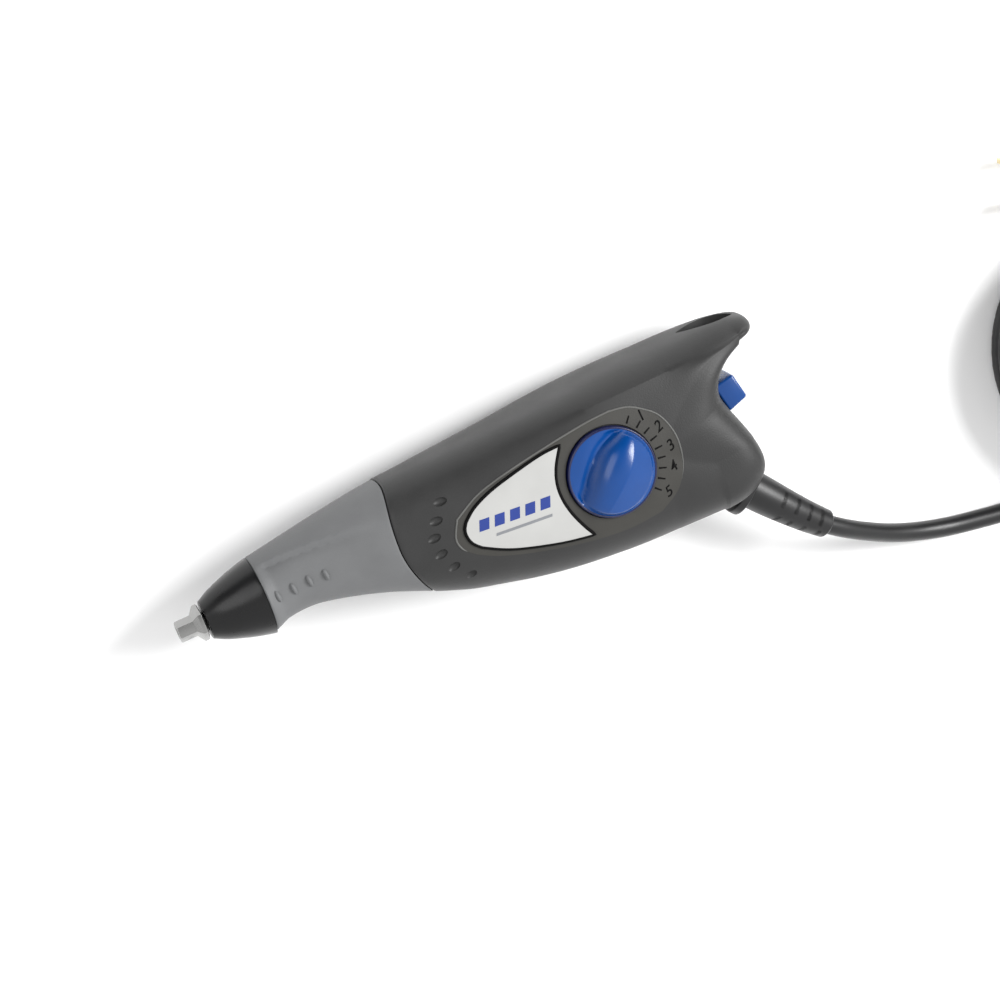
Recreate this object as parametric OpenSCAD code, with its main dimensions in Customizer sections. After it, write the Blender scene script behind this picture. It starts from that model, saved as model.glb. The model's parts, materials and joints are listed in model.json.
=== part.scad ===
// Electric engraver: a vibrating hammer tool with a stroke dial, lying on its right side.
// Inside each module +X runs from the chuck to the tail, +Y to the tool's top and +Z out of its left side,
// with the chuck's mouth on the hammer's axis at the origin. placed() moves that frame to the resting one.

/* [Housing] */
// Thickness of the moulded housing walls
wall = 2.2; // [1.8:0.1:2.4]
// Thickness of the rubber grip sleeve
sleeve_wall = 2.4; // [2:0.1:2.6]
// Height of the tool's mid-plane above the face it rests on
rest_height = 21.6; // [21.4:0.1:22.4]

/* [Hammer] */
// Diameter of the hammer rod
rod_d = 5; // [4.8:0.1:5.2]
// Bore that takes the engraving point's shank
point_d = 3.2; // [3:0.1:3.3]
// Depth of that bore
point_depth = 12; // [10:0.5:13]
// Running clearance on radius of every shaft in its bearing
running_gap = 0.06; // [0.02:0.01:0.1]

/* [Dial] */
// Diameter of the stroke dial
dial_d = 25.8; // [24:0.2:26.2]
// Angle that the dial turns from its lowest number to its highest
dial_travel = 84; // [60:1:90]
// How far the dial's cam moves the stroke stop
stop_travel = 1.5; // [1:0.1:1.6]

/* [Switch] */
// Length of the power slide along the back wall
slide_l = 8.2; // [7:0.2:9]
// Width of the power slide
slide_w = 11; // [9:0.5:12]

/* [Cord] */
// Diameter of the mains cord
cord_d = 5.6; // [5.2:0.1:5.8]
// Diameter of the wound coil across the middle of its turns
coil_d = 67; // [64:1:68]

/* [Hidden] */
$fn = 48;

// Centre of the flat face that the tool rests on
pad_centre = [121, -5];

// Side view of the body: [x, y] of its top and bottom edges, and [x, half width] in plan
top_edge = [[25, 11.3], [30, 12], [40, 13.4], [50, 14.7], [60, 15.8], [68, 16.4], [80, 17], [100, 17.9],
    [120, 19.1], [130, 19.7], [140, 20], [150, 20], [160, 19.5], [170, 18.3], [176, 17.1]];
bottom_edge = [[25, -10.8], [27.5, -9.7], [30, -8.7], [35, -8.2], [40, -8.5], [50, -10.9], [60, -14.2],
    [71, -18.8], [80, -22.4], [90, -25], [100, -27.4], [110, -29.1], [120, -30.2], [130, -31], [140, -31.3],
    [152, -31.4]];
half_width = [[25, 11.2], [35, 11.6], [50, 13.9], [67, 16.7], [80, 18.4], [100, 19.9], [120, 20.5],
    [140, 19.8], [150, 18.9], [160, 17.6], [170, 15], [176, 12]];
// Squareness of the section over and under the spine: 2 is an ellipse, 4 is nearly a box
top_power = [[25, 2], [67, 2.5], [100, 3.2], [130, 4], [180, 4]];
bottom_power = [[25, 2], [67, 2.3], [100, 2.4], [150, 2.6]];
// The seam leans back: how far its top and bottom ends stand behind its middle
seam_x = 64;
top_lean = [[26, 0], [seam_x, 3.4], [110, 0]];
bottom_lean = [[26, 0], [seam_x, 6.8], [110, 0]];
// Spine of the body, from the grip's front to the fork, and its two branches
spine_x = [28, 31, 35, 39, 43, 48, 53, 58, 61.5, 63.9, seam_x, 68, 72, 77, 82, 88, 94, 100, 107,
    114, 121, 128,
    135, 141];
spine_rise = [[25, 0.2], [35, 2.2], [50, 1.9], [60, 0.8], [68, -0.8], [80, -2.7], [100, -4.7], [120, -5.5],
    [141, -4.2]];
fin_spine = [[147, 1.5], [152.5, 6.5], [158, 10.5], [164, 13], [170, 13.9], [175.5, 14.2]];
back_spine = [[146, -8], [151, -11.5], [156, -14]];
// Edge of the fin's tip, its underside down to the throat, the back wall and the lower corner
fin_tip = [[179, 16.3], [181.2, 15.5], [182, 14.3], [181.3, 13.1], [179, 12.3], [175.5, 11.6]];
fin_under = [[171, 10.2], [168.2, 8.4], [166.4, 6.4], [165.2, 4.4], [164.4, 2.4]];
throat = [[164, 0.4], [164.2, -1.5]];
back_wall = [[165.3, -4.5], [166.9, -8.4], [168.2, -12.5]];
lower_corner = [[169, -17], [169.2, -20.5], [168.3, -24], [165.5, -27.6], [161.5, -30.3], [156, -31.3]];
rings = 6;
// How deep the name plate sits in the side, and its corner points
plate_depth = 0.7;
plate_corners = [[82, -2.8], [83.2, 0.7], [86.7, 3.5], [92.5, 5.8], [100.5, 7.7], [109.1, 9.7], [117, 10.6],
    [126, -3], [117.5, -18.6], [106, -16.1], [97.3, -13.5], [90.9, -11.1], [84.9, -7.7], [82.2,
        -4.6], [82, -2.8]];

// Shafts, screws and their places
rod_r = rod_d / 2;
bush_r = 4.2;
spigot_r = 7.6;
cone_front = 8.4;
sleeve_front = 25.3;
housing_front = 25.4;
rear_bush_x = 56.5;
bush_l = 5;
rod_front = 14;
rod_back = 90.6;
striker_x = 90.9;
plate_x = 91.3;
plate_t = 3.5;
core_x = 97.3;
core_back = 127;
core_z = 8;
legs_y = [[-16, -9], [1, 8]];
core_screw_points = [[123.7, 4.5], [123.7, -12.5]];
pivot_at = [91.05, -19.6];
pin_r = 1;
eye_z = 5;
cheek_y = [-20.9, -17.9];
cheek_z = [5.3, 7.6];
rivets_y = [-14, -8];
rivet_r = 1;
screw_points = [[74, 10], [77, -14], [112, 13.6], [149, 11.5], [138, -25.4]];
screw_r = 1.45;
boss_r = 3.2;

// Dial, its cam and the stop that the cam moves
dial_at = [126.1, -2.9];
dial_r = dial_d / 2;
dial_shaft_r = 3;
dial_seat_z = 18.8;
dial_boss_z = 17.4;
cam_r = 6;
cam_z = [13, 16];
cam_gap = 0.15;
pointer_angle = 42;
stop_y = -2.9;
stop_w = 3;
bumper_x = 95.7;
slider_x = 98.5;

// Frames of the power slide and the strain relief
slide_at = [166, -1.7];
slide_angle = -76.1;
slide_travel = 5;
case_floor = -9.5;
relief_at = [163.6, -28.9];
relief_angle = -50;
// The clamp's screws in the strain relief's frame: [along the cord, to each side of it]
clamp_at = [-8.7, 4.7];

// Leads: cord to switch, cord to coil, and switch to coil
lead_routes = [
    [[153.9, -17.3, 1.4], [151.3, -14.8, 2], [151.6, -12, 1.4], [154.6, -11.8, 0.3]],
    [[153.9, -17.3, -1.4], [146, -15.5, -6], [134, -19.5, -8], [121, -20.5, -5], [119.3, -18.6, -4]],
    [[152.6, -2.2, 0], [147.5, -6, 5], [141, -15, 7], [131, -20.6, 7], [121, -20.8, 4.5], [119.3,
        -18.8, 3.5]]];

// Hang slot through the fin
slot_x = [162, 178.8];
slot_r = 4.5;
slot_floor = 5;

// Cord: from the strain relief down to the bench, round the coil and back out to the plug
bench_z = -rest_height;
cord_r = cord_d / 2;
lie_z = bench_z + cord_r;
coil_at = [290, -42];
coil_columns = 2;
coil_layers = 4;
relief_route = [[163.8, -29.2, 0], [168, -34.6, -0.1], [172.4, -39.8, -0.6], [177, -45, -1.6],
    [181.3, -50, -3.2]];
relief_radii = [5.6, 5.3, 4.9, 4.4, 3.9];
run_route = [[181.3, -50, -3.2], [188, -56.2, -6], [195.5, -61.6, -9.6], [204, -66.4, -13.4],
    [213, -70.2, -16.6], [222.5, -73, -18.4], [232, -75, lie_z], [243, -76.8, lie_z], [254, -77.8, lie_z],
    [265, -78.3, lie_z], [278, -78.3, lie_z]];
// Tail of the cord: [angle round the coil, distance from its centre, height of its centre over the bench]
tail_route = [[-128, 36.6, 19.6], [-108, 40, 19], [-88, 42, 17], [-68, 42.8, 13], [-48, 43.6, 8.6],
    [-28, 44.6, 5], [-10, 46, 3], [10, 48, 2.8], [28, 50.6, 3.4], [42, 53.4, 5.4], [54, 55.7, 7.5]];
plug_at = [303.5, 8.2];
plug_angle = 165;
plug_h = 15;

// ---- Curves and surfaces ----

function unit(v) = v / norm(v);
function slope(t, i) =
    let(a = max(i - 1, 0), b = min(i + 1, len(t) - 1))
    (t[b][1] - t[a][1]) / (t[b][0] - t[a][0]);
function segment(t, x) = max([for (i = [0 : len(t) - 2]) if (i == 0 || t[i][0] <= x) i]);
// Smooth curve through a table of [x, value] rows
function curve(t, x) =
    let(i = segment(t, x), h = t[i + 1][0] - t[i][0], u = (x - t[i][0]) / h)
    (1 + 2 * u) * pow(1 - u, 2) * t[i][1] + u * pow(1 - u, 2) * h * slope(t, i)
    + u * u * (3 - 2 * u) * t[i + 1][1] + u * u * (u - 1) * h * slope(t, i + 1);

function top_point(x) = let(a = x + lookup(x, top_lean)) [a, curve(top_edge, a)];
function bottom_point(x) = let(a = x + lookup(x, bottom_lean)) [a, curve(bottom_edge, a)];
function spine_point(x) = [x, curve(spine_rise, x)];
function shrunk(p, s, inset) = p + unit(s - p) * inset;

// One column of the body's surface: [edge point, index of its spine point, squareness]
function main_columns(xs, over) = [for (i = [0 : len(xs) - 1])
    let(x = xs[i])
    over ? [top_point(x), i, lookup(x, top_power)] : [bottom_point(x), i, lookup(x, bottom_power)]];
function reversed(t) = [for (i = [len(t) - 1 : -1 : 0]) t[i]];
// All columns clockwise from the front of the top edge to the front of the bottom edge
function body_columns(xs) =
    let(fork = len(xs) - 1, fin = len(fin_spine), end = fork + fin, back = len(back_spine))
    concat(
        main_columns(xs, true),
        [for (i = [0 : fin - 1]) [[fin_spine[i][0], curve(top_edge, fin_spine[i][0])], fork + 1 + i,
            i == fin - 1 ? 2.6 : 4 - 0.2 * i]],
        [for (p = fin_tip) [p, end, 2.3]],
        [for (i = [0 : fin - 2]) [fin_under[i], end - 1 - i, 2.6 + 0.2 * i]],
        [for (p = throat) [p, fork, 3.6]],
        [for (i = [0 : back - 1]) [back_wall[i], end + 1 + i, 3.6]],
        [for (i = [0 : len(lower_corner) - 1]) [lower_corner[i], end + back, 3.4 - 0.13 * i]],
        [for (i = [back - 2 : -1 : 0])
            [[back_spine[i][0], curve(bottom_edge, back_spine[i][0])], end + 1 + i, 2.6]],
        reversed(main_columns(xs, false)));

// Left half of the body, drawn in by front_inset ahead of the seam and by rear_inset behind it
module half_body(xs, front_inset, rear_inset, floor_z) {
    spine = concat([for (x = xs) spine_point(x)], fin_spine, back_spine);
    columns = body_columns(xs);
    n = len(columns);
    function inset(s) = s[0] < seam_x - 0.01 ? front_inset : rear_inset;
    function height(s) = curve(half_width, s[0]) - inset(s);
    points = concat(
        [for (r = [0 : rings - 1], c = columns)
            let(s = spine[c[1]], e = shrunk(c[0], s, inset(s)), a = 90 * r / rings,
                q = s + (e - s) * pow(cos(a), 2 / c[2]))
            [q[0], q[1], r == 0 ? floor_z : height(s) * pow(sin(a), 2 / c[2])]],
        [for (s = spine) [s[0], s[1], height(s)]],
        [for (s = spine) [s[0], s[1], floor_z]]);
    tip = n * rings;
    foot = tip + len(spine);
    last = n * (rings - 1);
    polyhedron(points, concat(
        [concat([tip], [for (r = [rings - 1 : -1 : 0]) r * n + n - 1], [foot],
            [for (r = [0 : rings - 1]) r * n])],
        [for (r = [0 : rings - 2], j = [0 : n - 2])
            [r * n + j, r * n + j + 1, (r + 1) * n + j + 1, (r + 1) * n + j]],
        [for (j = [0 : n - 2]) each
            let(a = columns[j][1], b = columns[j + 1][1])
            a == b ? [[last + j, last + j + 1, tip + a], [j + 1, j, foot + a]]
                : [[last + j, last + j + 1, tip + b, tip + a], [j + 1, j, foot + a, foot + b]]]),
        convexity = 6);
}
module body_outside() half_body(concat([housing_front], spine_x), sleeve_wall, 0, 0);
module body_inside() half_body(spine_x, sleeve_wall + wall - 0.4, wall, -0.5);

// A closed section of the grip at spine place x, drawn in by an inset
function grip_section(x, inset) =
    let(s = spine_point(x), w = curve(half_width, x) - inset)
    [for (k = [0 : 4 * rings - 1])
        let(a = 90 * k / rings, over = cos(a) >= 0, p = over ? top_point(x) : bottom_point(x),
            n = over ? lookup(x, top_power) : lookup(x, bottom_power),
            q = s + (shrunk(p, s, inset) - s) * pow(abs(cos(a)), 2 / n))
        [q[0], q[1], sign(sin(a)) * w * pow(abs(sin(a)), 2 / n)]];

// Tube along a path of points, with a radius for each
function tangent(p, i) = unit(p[min(i + 1, len(p) - 1)] - p[max(i - 1, 0)]);
function hoop(p, i, r, sides) =
    let(t = tangent(p, i), s = unit(cross(t, [0, 0, 1])), u = cross(s, t))
    [for (k = [0 : sides - 1]) p[i] + r * (s * cos(360 * k / sides) + u * sin(360 * k / sides))];
module tube(path, radii, sides) {
    n = len(path);
    polyhedron(
        [for (i = [0 : n - 1]) each hoop(path, i, is_list(radii) ? radii[i] : radii, sides)],
        concat([[for (k = [sides - 1 : -1 : 0]) k], [for (k = [0 : sides - 1]) (n - 1) * sides + k]],
            [for (i = [0 : n - 2], k = [0 : sides - 1])
                let(m = (k + 1) % sides)
                [i * sides + k, i * sides + m, (i + 1) * sides + m, (i + 1) * sides + k]]),
        convexity = 8);
}
// Smooth path through hand-chosen points
function blend(a, b, c, d, u) = 0.5 * (2 * b + (c - a) * u + (2 * a - 5 * b + 4 * c - d) * u * u
    + (3 * b - a - 3 * c + d) * u * u * u);
function spline(p, steps) = concat([for (i = [0 : len(p) - 2], k = [0 : steps - 1])
    blend(p[max(i - 1, 0)], p[i], p[i + 1], p[min(i + 2, len(p) - 1)], k / steps)], [p[len(p) - 1]]);

// ---- Small shapes ----

module placed() translate([-pad_centre[0], -pad_centre[1], rest_height]) children();
// Cylinder along the hammer's axis between two places
module rod(x0, x1, r, r2 = undef) translate([x0, 0, 0]) rotate([0, 90, 0])
    cylinder(h = x1 - x0, r1 = r, r2 = is_undef(r2) ? r : r2);
module post(p, z0, z1, r) translate([p[0], p[1], z0]) cylinder(h = z1 - z0, r = r);
module block(x, y, z) translate([x[0], y[0], z[0]]) cube([x[1] - x[0], y[1] - y[0], z[1] - z[0]]);
// Plate with round ends, its length along X
module lozenge(length, r, h) {
    block([r - length / 2, length / 2 - r], [-r, r], [0, h]);
    for (side = [-1, 1]) post([side * (length / 2 - r), 0], 0, h, r);
}
module slide_frame() translate([slide_at[0], slide_at[1], 0]) rotate([0, 0, slide_angle]) children();
module relief_frame() translate([relief_at[0], relief_at[1], 0]) rotate([0, 0, relief_angle]) children();
module hexagon(x0, x1, flats, flats2) translate([x0, 0, 0]) rotate([0, 90, 0])
    cylinder(h = x1 - x0, d1 = flats / cos(30), d2 = flats2 / cos(30), $fn = 6);

// ---- Housing ----

// Upright block of the hang slot's shape, grown by a margin
module slot_block(margin, y0, y1) {
    length = slot_x[1] - slot_x[0] + 2 * margin;
    translate([(slot_x[0] + slot_x[1]) / 2, y1, 0]) rotate([90, 0, 0])
        lozenge(length, slot_r + margin, y1 - y0);
}
// Ribs and bosses that both halves carry
module shared_ribs() {
    for (p = screw_points) post(p, -1, 20, boss_r);
    rod(rear_bush_x, rear_bush_x + bush_l, 9.8);
    block([rear_bush_x, rear_bush_x + bush_l], [5, 15], [-1, 4]);
    slot_block(2, slot_floor - 2, 21);
}
// Openings that both halves share
module shared_cuts() {
    rod(0, 30, bush_r);
    rod(rear_bush_x, rear_bush_x + bush_l, bush_r);
    slot_block(0, slot_floor, 26);
    slide_frame() {
        block([-3.2, slide_travel + 3.2], [-6, 3], [-3.2, 3.2]);
        block([-6, slide_travel + 6], [0, 6], [-slide_w / 2 - 0.6, slide_w / 2 + 0.6]);
    }
    relief_frame() {
        block([-1.6, 12], [-14, 14], [-14, 14]);
        rotate([0, 90, 0]) translate([0, 0, -8]) cylinder(h = 8, r = 5.1);
    }
}
module housing_half() {
    difference() {
        union() {
            body_outside();
            intersection() {
                rod(18.5, 28, spigot_r);
                block([0, 40], [-10, 10], [0, 10]);
            }
        }
        difference() {
            body_inside();
            children(0);
        }
        shared_cuts();
        children(1);
    }
}
// Outline of the name plate, grown by a margin
module plate_outline(margin) {
    difference() {
        offset(delta = margin) polygon(spline(plate_corners, 3));
        translate(dial_at) circle(r = dial_r + 3.1 - margin);
    }
}
module under_plate(depth) half_body(spine_x, sleeve_wall, depth, 0);
module left_housing() placed() color("#464749") housing_half() {
    union() {
        shared_ribs();
        post(dial_at, dial_boss_z, 21, dial_r + 1.8);
        for (y = [stop_y - stop_w / 2 - 1.9, stop_y + stop_w / 2 + 0.4])
            block([101, 111], [y, y + 1.5], [13.4, 20]);
    }
    union() {
        for (p = screw_points) post(p, -1, 12, screw_r + 0.05);
        post(dial_at, dial_seat_z, 26, dial_r + 0.4);
        post(dial_at, 10, 22, dial_shaft_r + running_gap);
        difference() {
            translate([0, 0, 10]) linear_extrude(14) plate_outline(0.25);
            under_plate(plate_depth);
        }
    }
}
module rest_pad() translate([pad_centre[0], pad_centre[1], -rest_height]) lozenge(62, 13, 6);
module right_housing() placed() color("#464749") {
    difference() {
        union() {
            mirror([0, 0, 1]) housing_half() {
                union() {
                    shared_ribs();
                    for (p = core_screw_points) post(p, core_z, 20, 3.4);
                }
                for (p = core_screw_points) post(p, core_z - 1, core_z + 7, screw_r + 0.05);
            }
            difference() {
                rest_pad();
                mirror([0, 0, 1]) under_plate(0.6);
            }
        }
        for (p = screw_points) {
            post(p, -14, 1, screw_r + 0.2);
            post(p, -24, -11.4, 3);
        }
        translate([pad_centre[0] - 15, pad_centre[1], -rest_height - 1]) lozenge(22.4, 6.2, 1.5);
    }
}
module grip_sleeve() placed() color("#838586") {
    xs = concat([sleeve_front], [for (x = spine_x) if (x < seam_x - 0.5) x], [seam_x - 0.2]);
    around = 4 * rings;
    n = len(xs);
    difference() {
        polyhedron(
            concat([for (x = xs) each grip_section(x, 0)], [for (x = xs) each grip_section(x,
                sleeve_wall - 0.1)]),
            [for (k = [0 : around - 1])
                let(m = (k + 1) % around, b = n * around, e = (n - 1) * around)
                each concat(
                    [for (i = [0 : n - 2])
                        [i * around + k, (i + 1) * around + k, (i + 1) * around + m, i * around + m]],
                    [for (i = [0 : n - 2])
                        [b + i * around + m, b + (i + 1) * around + m, b + (i + 1) * around + k,
                            b + i * around + k]],
                    [[k, m, b + m, b + k], [e + m, e + k, b + e + k, b + e + m]])],
            convexity = 6);
        // Four shallow dimples on each side
        for (side = [-1, 1], x = [31 : 5 : 46])
            translate([x, -0.6, side * (curve(half_width, x) + 1.1)]) sphere(r = 1.9, $fn = 24);
    }
}
module nose_cone() placed() color("#232426") rotate([0, 90, 0]) rotate_extrude($fn = 72)
    polygon(concat([[rod_r + 0.5, cone_front], [5.4, cone_front]],
        spline([[5.75, 8.8], [7.4, 12], [8.85, 16], [10.1, 20], [11.1, 24], [11.3, sleeve_front - 0.1]], 2),
        [[spigot_r + 0.1, sleeve_front - 0.1], [spigot_r + 0.1, 18.2], [4.6, 18.2], [4.6, 11],
            [rod_r + 0.5, 11]]));
module bush(x0, x1) difference() {
    rod(x0, x1, bush_r - 0.02);
    rod(x0 - 1, x1 + 1, rod_r + running_gap);
}
module front_bush() placed() color("#b08d4a") bush(18.6, 26.2);
module rear_bush() placed() color("#b08d4a") bush(rear_bush_x, rear_bush_x + bush_l);
module name_plate() placed() color("#dfe2e4") difference() {
    intersection() {
        half_body(spine_x, sleeve_wall, -0.35, 0);
        translate([0, 0, 10]) linear_extrude(14) plate_outline(0);
    }
    under_plate(plate_depth - 0.05);
}
module rating_plate() placed() color("#b9bcc0")
    translate([pad_centre[0] - 15, pad_centre[1], 0.1 - rest_height]) lozenge(22, 6, 0.35);
module cross_recess(p, z, depth) for (a = [0, 90])
    translate([p[0], p[1], z]) rotate([0, 0, a]) cube([2.8, 0.7, depth], center = true);
module cross_screw(p, z_head, z_end, head_r, head_h) difference() {
    union() {
        post(p, z_head, z_head + head_h, head_r);
        post(p, z_head + head_h, z_end, screw_r);
    }
    cross_recess(p, z_head, 2);
}
module housing_screws() placed() color("#8e9094") for (p = screw_points) cross_screw(p, -13.4, 10, 2.7, 2);

// ---- Hammer ----

module hammer_rod() placed() color("#b9bbbe") difference() {
    union() {
        rod(rod_front, rod_back - 1, rod_r);
        rod(rod_back - 1, rod_back, rod_r, 1.5);
    }
    rod(rod_front - 1, rod_front + 4, 1.25);
}
module chuck() placed() color("#c4c7ca") difference() {
    union() {
        hexagon(0, 4.9, 5.4, 5.4);
        hexagon(4.9, 6.3, 5.4, 9.2);
        hexagon(6.3, 7.7, 9.2, 9.2);
        rod(7, rod_front, rod_r);
        rod(rod_front, rod_front + 3.6, 1.2);
    }
    rod(-1, point_depth, point_d / 2);
    translate([3, -4, 0]) rotate([-90, 0, 0]) cylinder(h = 4, r = 1);
}
module chuck_screw() placed() color("#3a3b3d") translate([3, -3, 0]) rotate([-90, 0, 0]) difference() {
    cylinder(h = 3 - point_d / 2 - 0.05, r = 0.95);
    cylinder(h = 1.4, r = 0.5, center = true, $fn = 6);
}
module rod_collar() placed() color("#8e9094") difference() {
    rod(38, 41, 3.8);
    rod(37, 42, rod_r);
}
// Helical spring between the front bush and the rod's collar
module return_spring() placed() color("#a8abae") {
    turns = 6;
    steps = 16;
    x0 = 26.7;
    x1 = 37.5;
    tube([for (i = [0 : turns * steps]) let(a = 360 * i / steps)
        [x0 + (x1 - x0) * i / (turns * steps), 3.15 * cos(a), 3.15 * sin(a)]], 0.35, 6);
}

// ---- Magnet ----

module laminated_core() placed() color("#6f7276") difference() {
    union() {
        for (y = legs_y) block([core_x, core_back], y, [-core_z, core_z]);
        block([120.5, core_back], [legs_y[0][0], legs_y[1][1]], [-core_z, core_z]);
    }
    for (p = core_screw_points) post(p, -core_z - 1, core_z + 1, screw_r + 0.2);
}
module core_screws() placed() color("#8e9094") for (p = core_screw_points)
    mirror([0, 0, 1]) cross_screw(p, -core_z - 2, core_z + 6.5, 2.7, 2);
module around_leg(x, margin_y, margin_z) block(x, [legs_y[0][0] - margin_y, legs_y[0][1] + margin_y],
    [-core_z - margin_z, core_z + margin_z]);
module coil_bobbin() placed() color("#d9d6c8") difference() {
    union() {
        around_leg([99, 119], 1, 1);
        for (x = [99, 117.8]) around_leg([x, x + 1.2], 4.6, 4);
    }
    around_leg([98, 120], 0.1, 0.1);
}
module coil_winding() placed() color("#a5602c") difference() {
    hull() for (y = [legs_y[0][0] - 2.6, legs_y[0][1] + 2.6], z = [-core_z - 2, core_z + 2])
        translate([100.3, y, z]) rotate([0, 90, 0]) cylinder(h = 17.4, r = 1.5, $fn = 32);
    around_leg([98, 120], 1.05, 1.05);
}
module armature_plate() placed() color("#75787b") difference() {
    union() {
        block([plate_x, plate_x + plate_t], [-17.2, 9], [-7, 7]);
        block([plate_x, plate_x + plate_t], [stop_y - stop_w / 2, stop_y + stop_w / 2], [6, 16]);
    }
    rod(plate_x - 1, plate_x + plate_t + 1, 2);
    for (y = rivets_y) translate([0, y, 0]) rod(plate_x - 1, plate_x + plate_t + 1, rivet_r);
}
module armature_striker() placed() color("#c9ccd0") rod(striker_x, plate_x + plate_t, 2);
module armature_rivets() placed() color("#c9ccd0") for (y = rivets_y) translate([0, y, 0]) {
    rod(plate_x - 1.2, plate_x - 0.5, 1.8);
    rod(plate_x - 0.5, plate_x + plate_t, rivet_r);
    rod(plate_x + plate_t, plate_x + plate_t + 0.6, 1.6);
}
// Leaf riveted to the plate, its lower end rolled into an eye round the pivot pin
module leaf_spring() placed() color("#9b9ea3") difference() {
    union() {
        block([plate_x - 0.5, plate_x], [pivot_at[1], -5], [-eye_z, eye_z]);
        post(pivot_at, -eye_z, eye_z, pin_r + 0.6);
    }
    post(pivot_at, -eye_z - 1, eye_z + 1, pin_r + running_gap);
    for (y = rivets_y) translate([0, y, 0]) rod(plate_x - 1, plate_x + 1, rivet_r);
}
// Bracket on the core's front that carries the pin in its two cheeks
module pivot_bracket() placed() color("#85888c") difference() {
    union() {
        block([core_x - 1.1, core_x], [cheek_y[0], -12], [-cheek_z[1], cheek_z[1]]);
        for (z = [-cheek_z[1], cheek_z[0]])
            block([pivot_at[0] - 1.9, core_x], cheek_y, [z, z + cheek_z[1] - cheek_z[0]]);
    }
    post(pivot_at, -cheek_z[1] - 1, cheek_z[1] + 1, pin_r + 0.01);
}
module pivot_pin() placed() color("#c9ccd0") post(pivot_at, -cheek_z[1] - 0.4, cheek_z[1] + 0.4, pin_r);

// ---- Stroke dial ----

module dial_knob() placed() color("#17589a") translate([dial_at[0], dial_at[1], 0]) difference() {
    union() {
        rotate_extrude($fn = 72) polygon(concat([[0, 19.1], [dial_r, 19.1]],
            spline([[dial_r, 21.4], [dial_r - 0.5, 22.2], [dial_r - 3, 23.4], [5, 24.4], [0, 24.7]], 2)));
        rotate([0, 0, pointer_angle]) hull() {
            for (side = [-1, 1]) translate([side * 10.6, 0, 22.2]) cylinder(h = 1.2, r = 1.3, $fn = 24);
            for (side = [-1, 1]) translate([side * 6, 0, 24.5]) cylinder(h = 1.2, r = 1.1, $fn = 24);
        }
        cylinder(h = 20, r = dial_shaft_r);
    }
    translate([0, 0, -1]) cylinder(h = 13.2, r = 8);
    translate([0, 0, 10]) cylinder(h = 7, r = 1.25);
}
// Radius of the cam at an angle of its own, falling evenly over the dial's travel
cam_rate = stop_travel / dial_travel;
function cam_radius(a) = a < 160 ? cam_radius(a + 360)
    : a <= 284 ? cam_r - cam_rate * (a - 180)
    : cam_r - cam_rate * (104 - 124 * (a - 284) / 236);
module dial_cam() placed() color("#e4e2da") translate([dial_at[0], dial_at[1], 0]) difference() {
    union() {
        translate([0, 0, cam_z[0]]) linear_extrude(cam_z[1] - cam_z[0])
            polygon([for (a = [0 : 6 : 354]) cam_radius(a) * [cos(a), sin(a)]]);
        translate([0, 0, cam_z[1]]) cylinder(h = 1.2, r = 4.4);
    }
    translate([0, 0, cam_z[0] - 1]) cylinder(h = 6, r = dial_shaft_r);
}
module dial_screw() placed() color("#8e9094") difference() {
    union() {
        post(dial_at, 10.4, 12.2, 2.7);
        post(dial_at, 12.2, 16.6, 1.2);
    }
    cross_recess(dial_at, 10.4, 1.6);
}
module stop_slider() placed() color("#e4e2da") {
    nose_x = dial_at[0] - cam_r - cam_gap - 1;
    block([slider_x, nose_x], [stop_y - stop_w / 2, stop_y + stop_w / 2], cam_z);
    post([nose_x, stop_y], cam_z[0], cam_z[1], 1);
}
module stop_bumper() placed() color("#1d1d1e")
    translate([bumper_x, stop_y, (cam_z[0] + cam_z[1]) / 2]) rotate([0, 90, 0])
    cylinder(h = slider_x - bumper_x, r = 1.6);

// ---- Power slide ----

module switch_button() placed() color("#205893") slide_frame() {
    hull() for (x = [-1, 1], z = [-1, 1])
        translate([x * (slide_l / 2 - 1), 0.3, z * (slide_w / 2 - 1)])
        rotate([-90, 0, 0]) cylinder(h = 4.5, r1 = 1, r2 = 0.7, $fn = 24);
    block([-2.5, 2.5], [-7, 1], [-2.8, 2.8]);
}
module switch_case() placed() color("#2b2c2e") slide_frame() difference() {
    block([-6, 10.4], [case_floor, -4.3], [-5.3, 5.3]);
    block([-3.2, slide_travel + 3.2], [-7.6, 0], [-3.2, 3.2]);
}
module switch_terminals() placed() color("#c8a45a") slide_frame() for (x = [-3, 7])
    block([x, x + 0.8], [case_floor - 3.5, case_floor], [-2.4, 2.4]);

// ---- Wiring ----

module inner_cord() placed() color("#1d1d1e") relief_frame() translate([-16, 0, 0]) rotate([0, 90, 0])
    cylinder(h = 10, r = cord_r);
module cord_clamp() placed() color("#2b2c2e") relief_frame() difference() {
    block([clamp_at[0] - 2.5, clamp_at[0] + 2.5], [-6.6, 6.6], [cord_r, cord_r + 2.6]);
    for (y = [-clamp_at[1], clamp_at[1]]) post([clamp_at[0], y], 0, 10, screw_r + 0.2);
}
module cord_clamp_screws() placed() color("#8e9094") relief_frame() mirror([0, 0, 1])
    for (y = [-clamp_at[1], clamp_at[1]]) cross_screw([clamp_at[0], y], -cord_r - 4.4, 6, 1.85, 1.8);
// Insulated leads from the cord to the switch, and from there to the coil
module coil_leads() placed() color("#22262b") {
    for (route = lead_routes) tube(spline(route, 3), 0.9, 8);
}

// ---- Cord and plug ----

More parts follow.
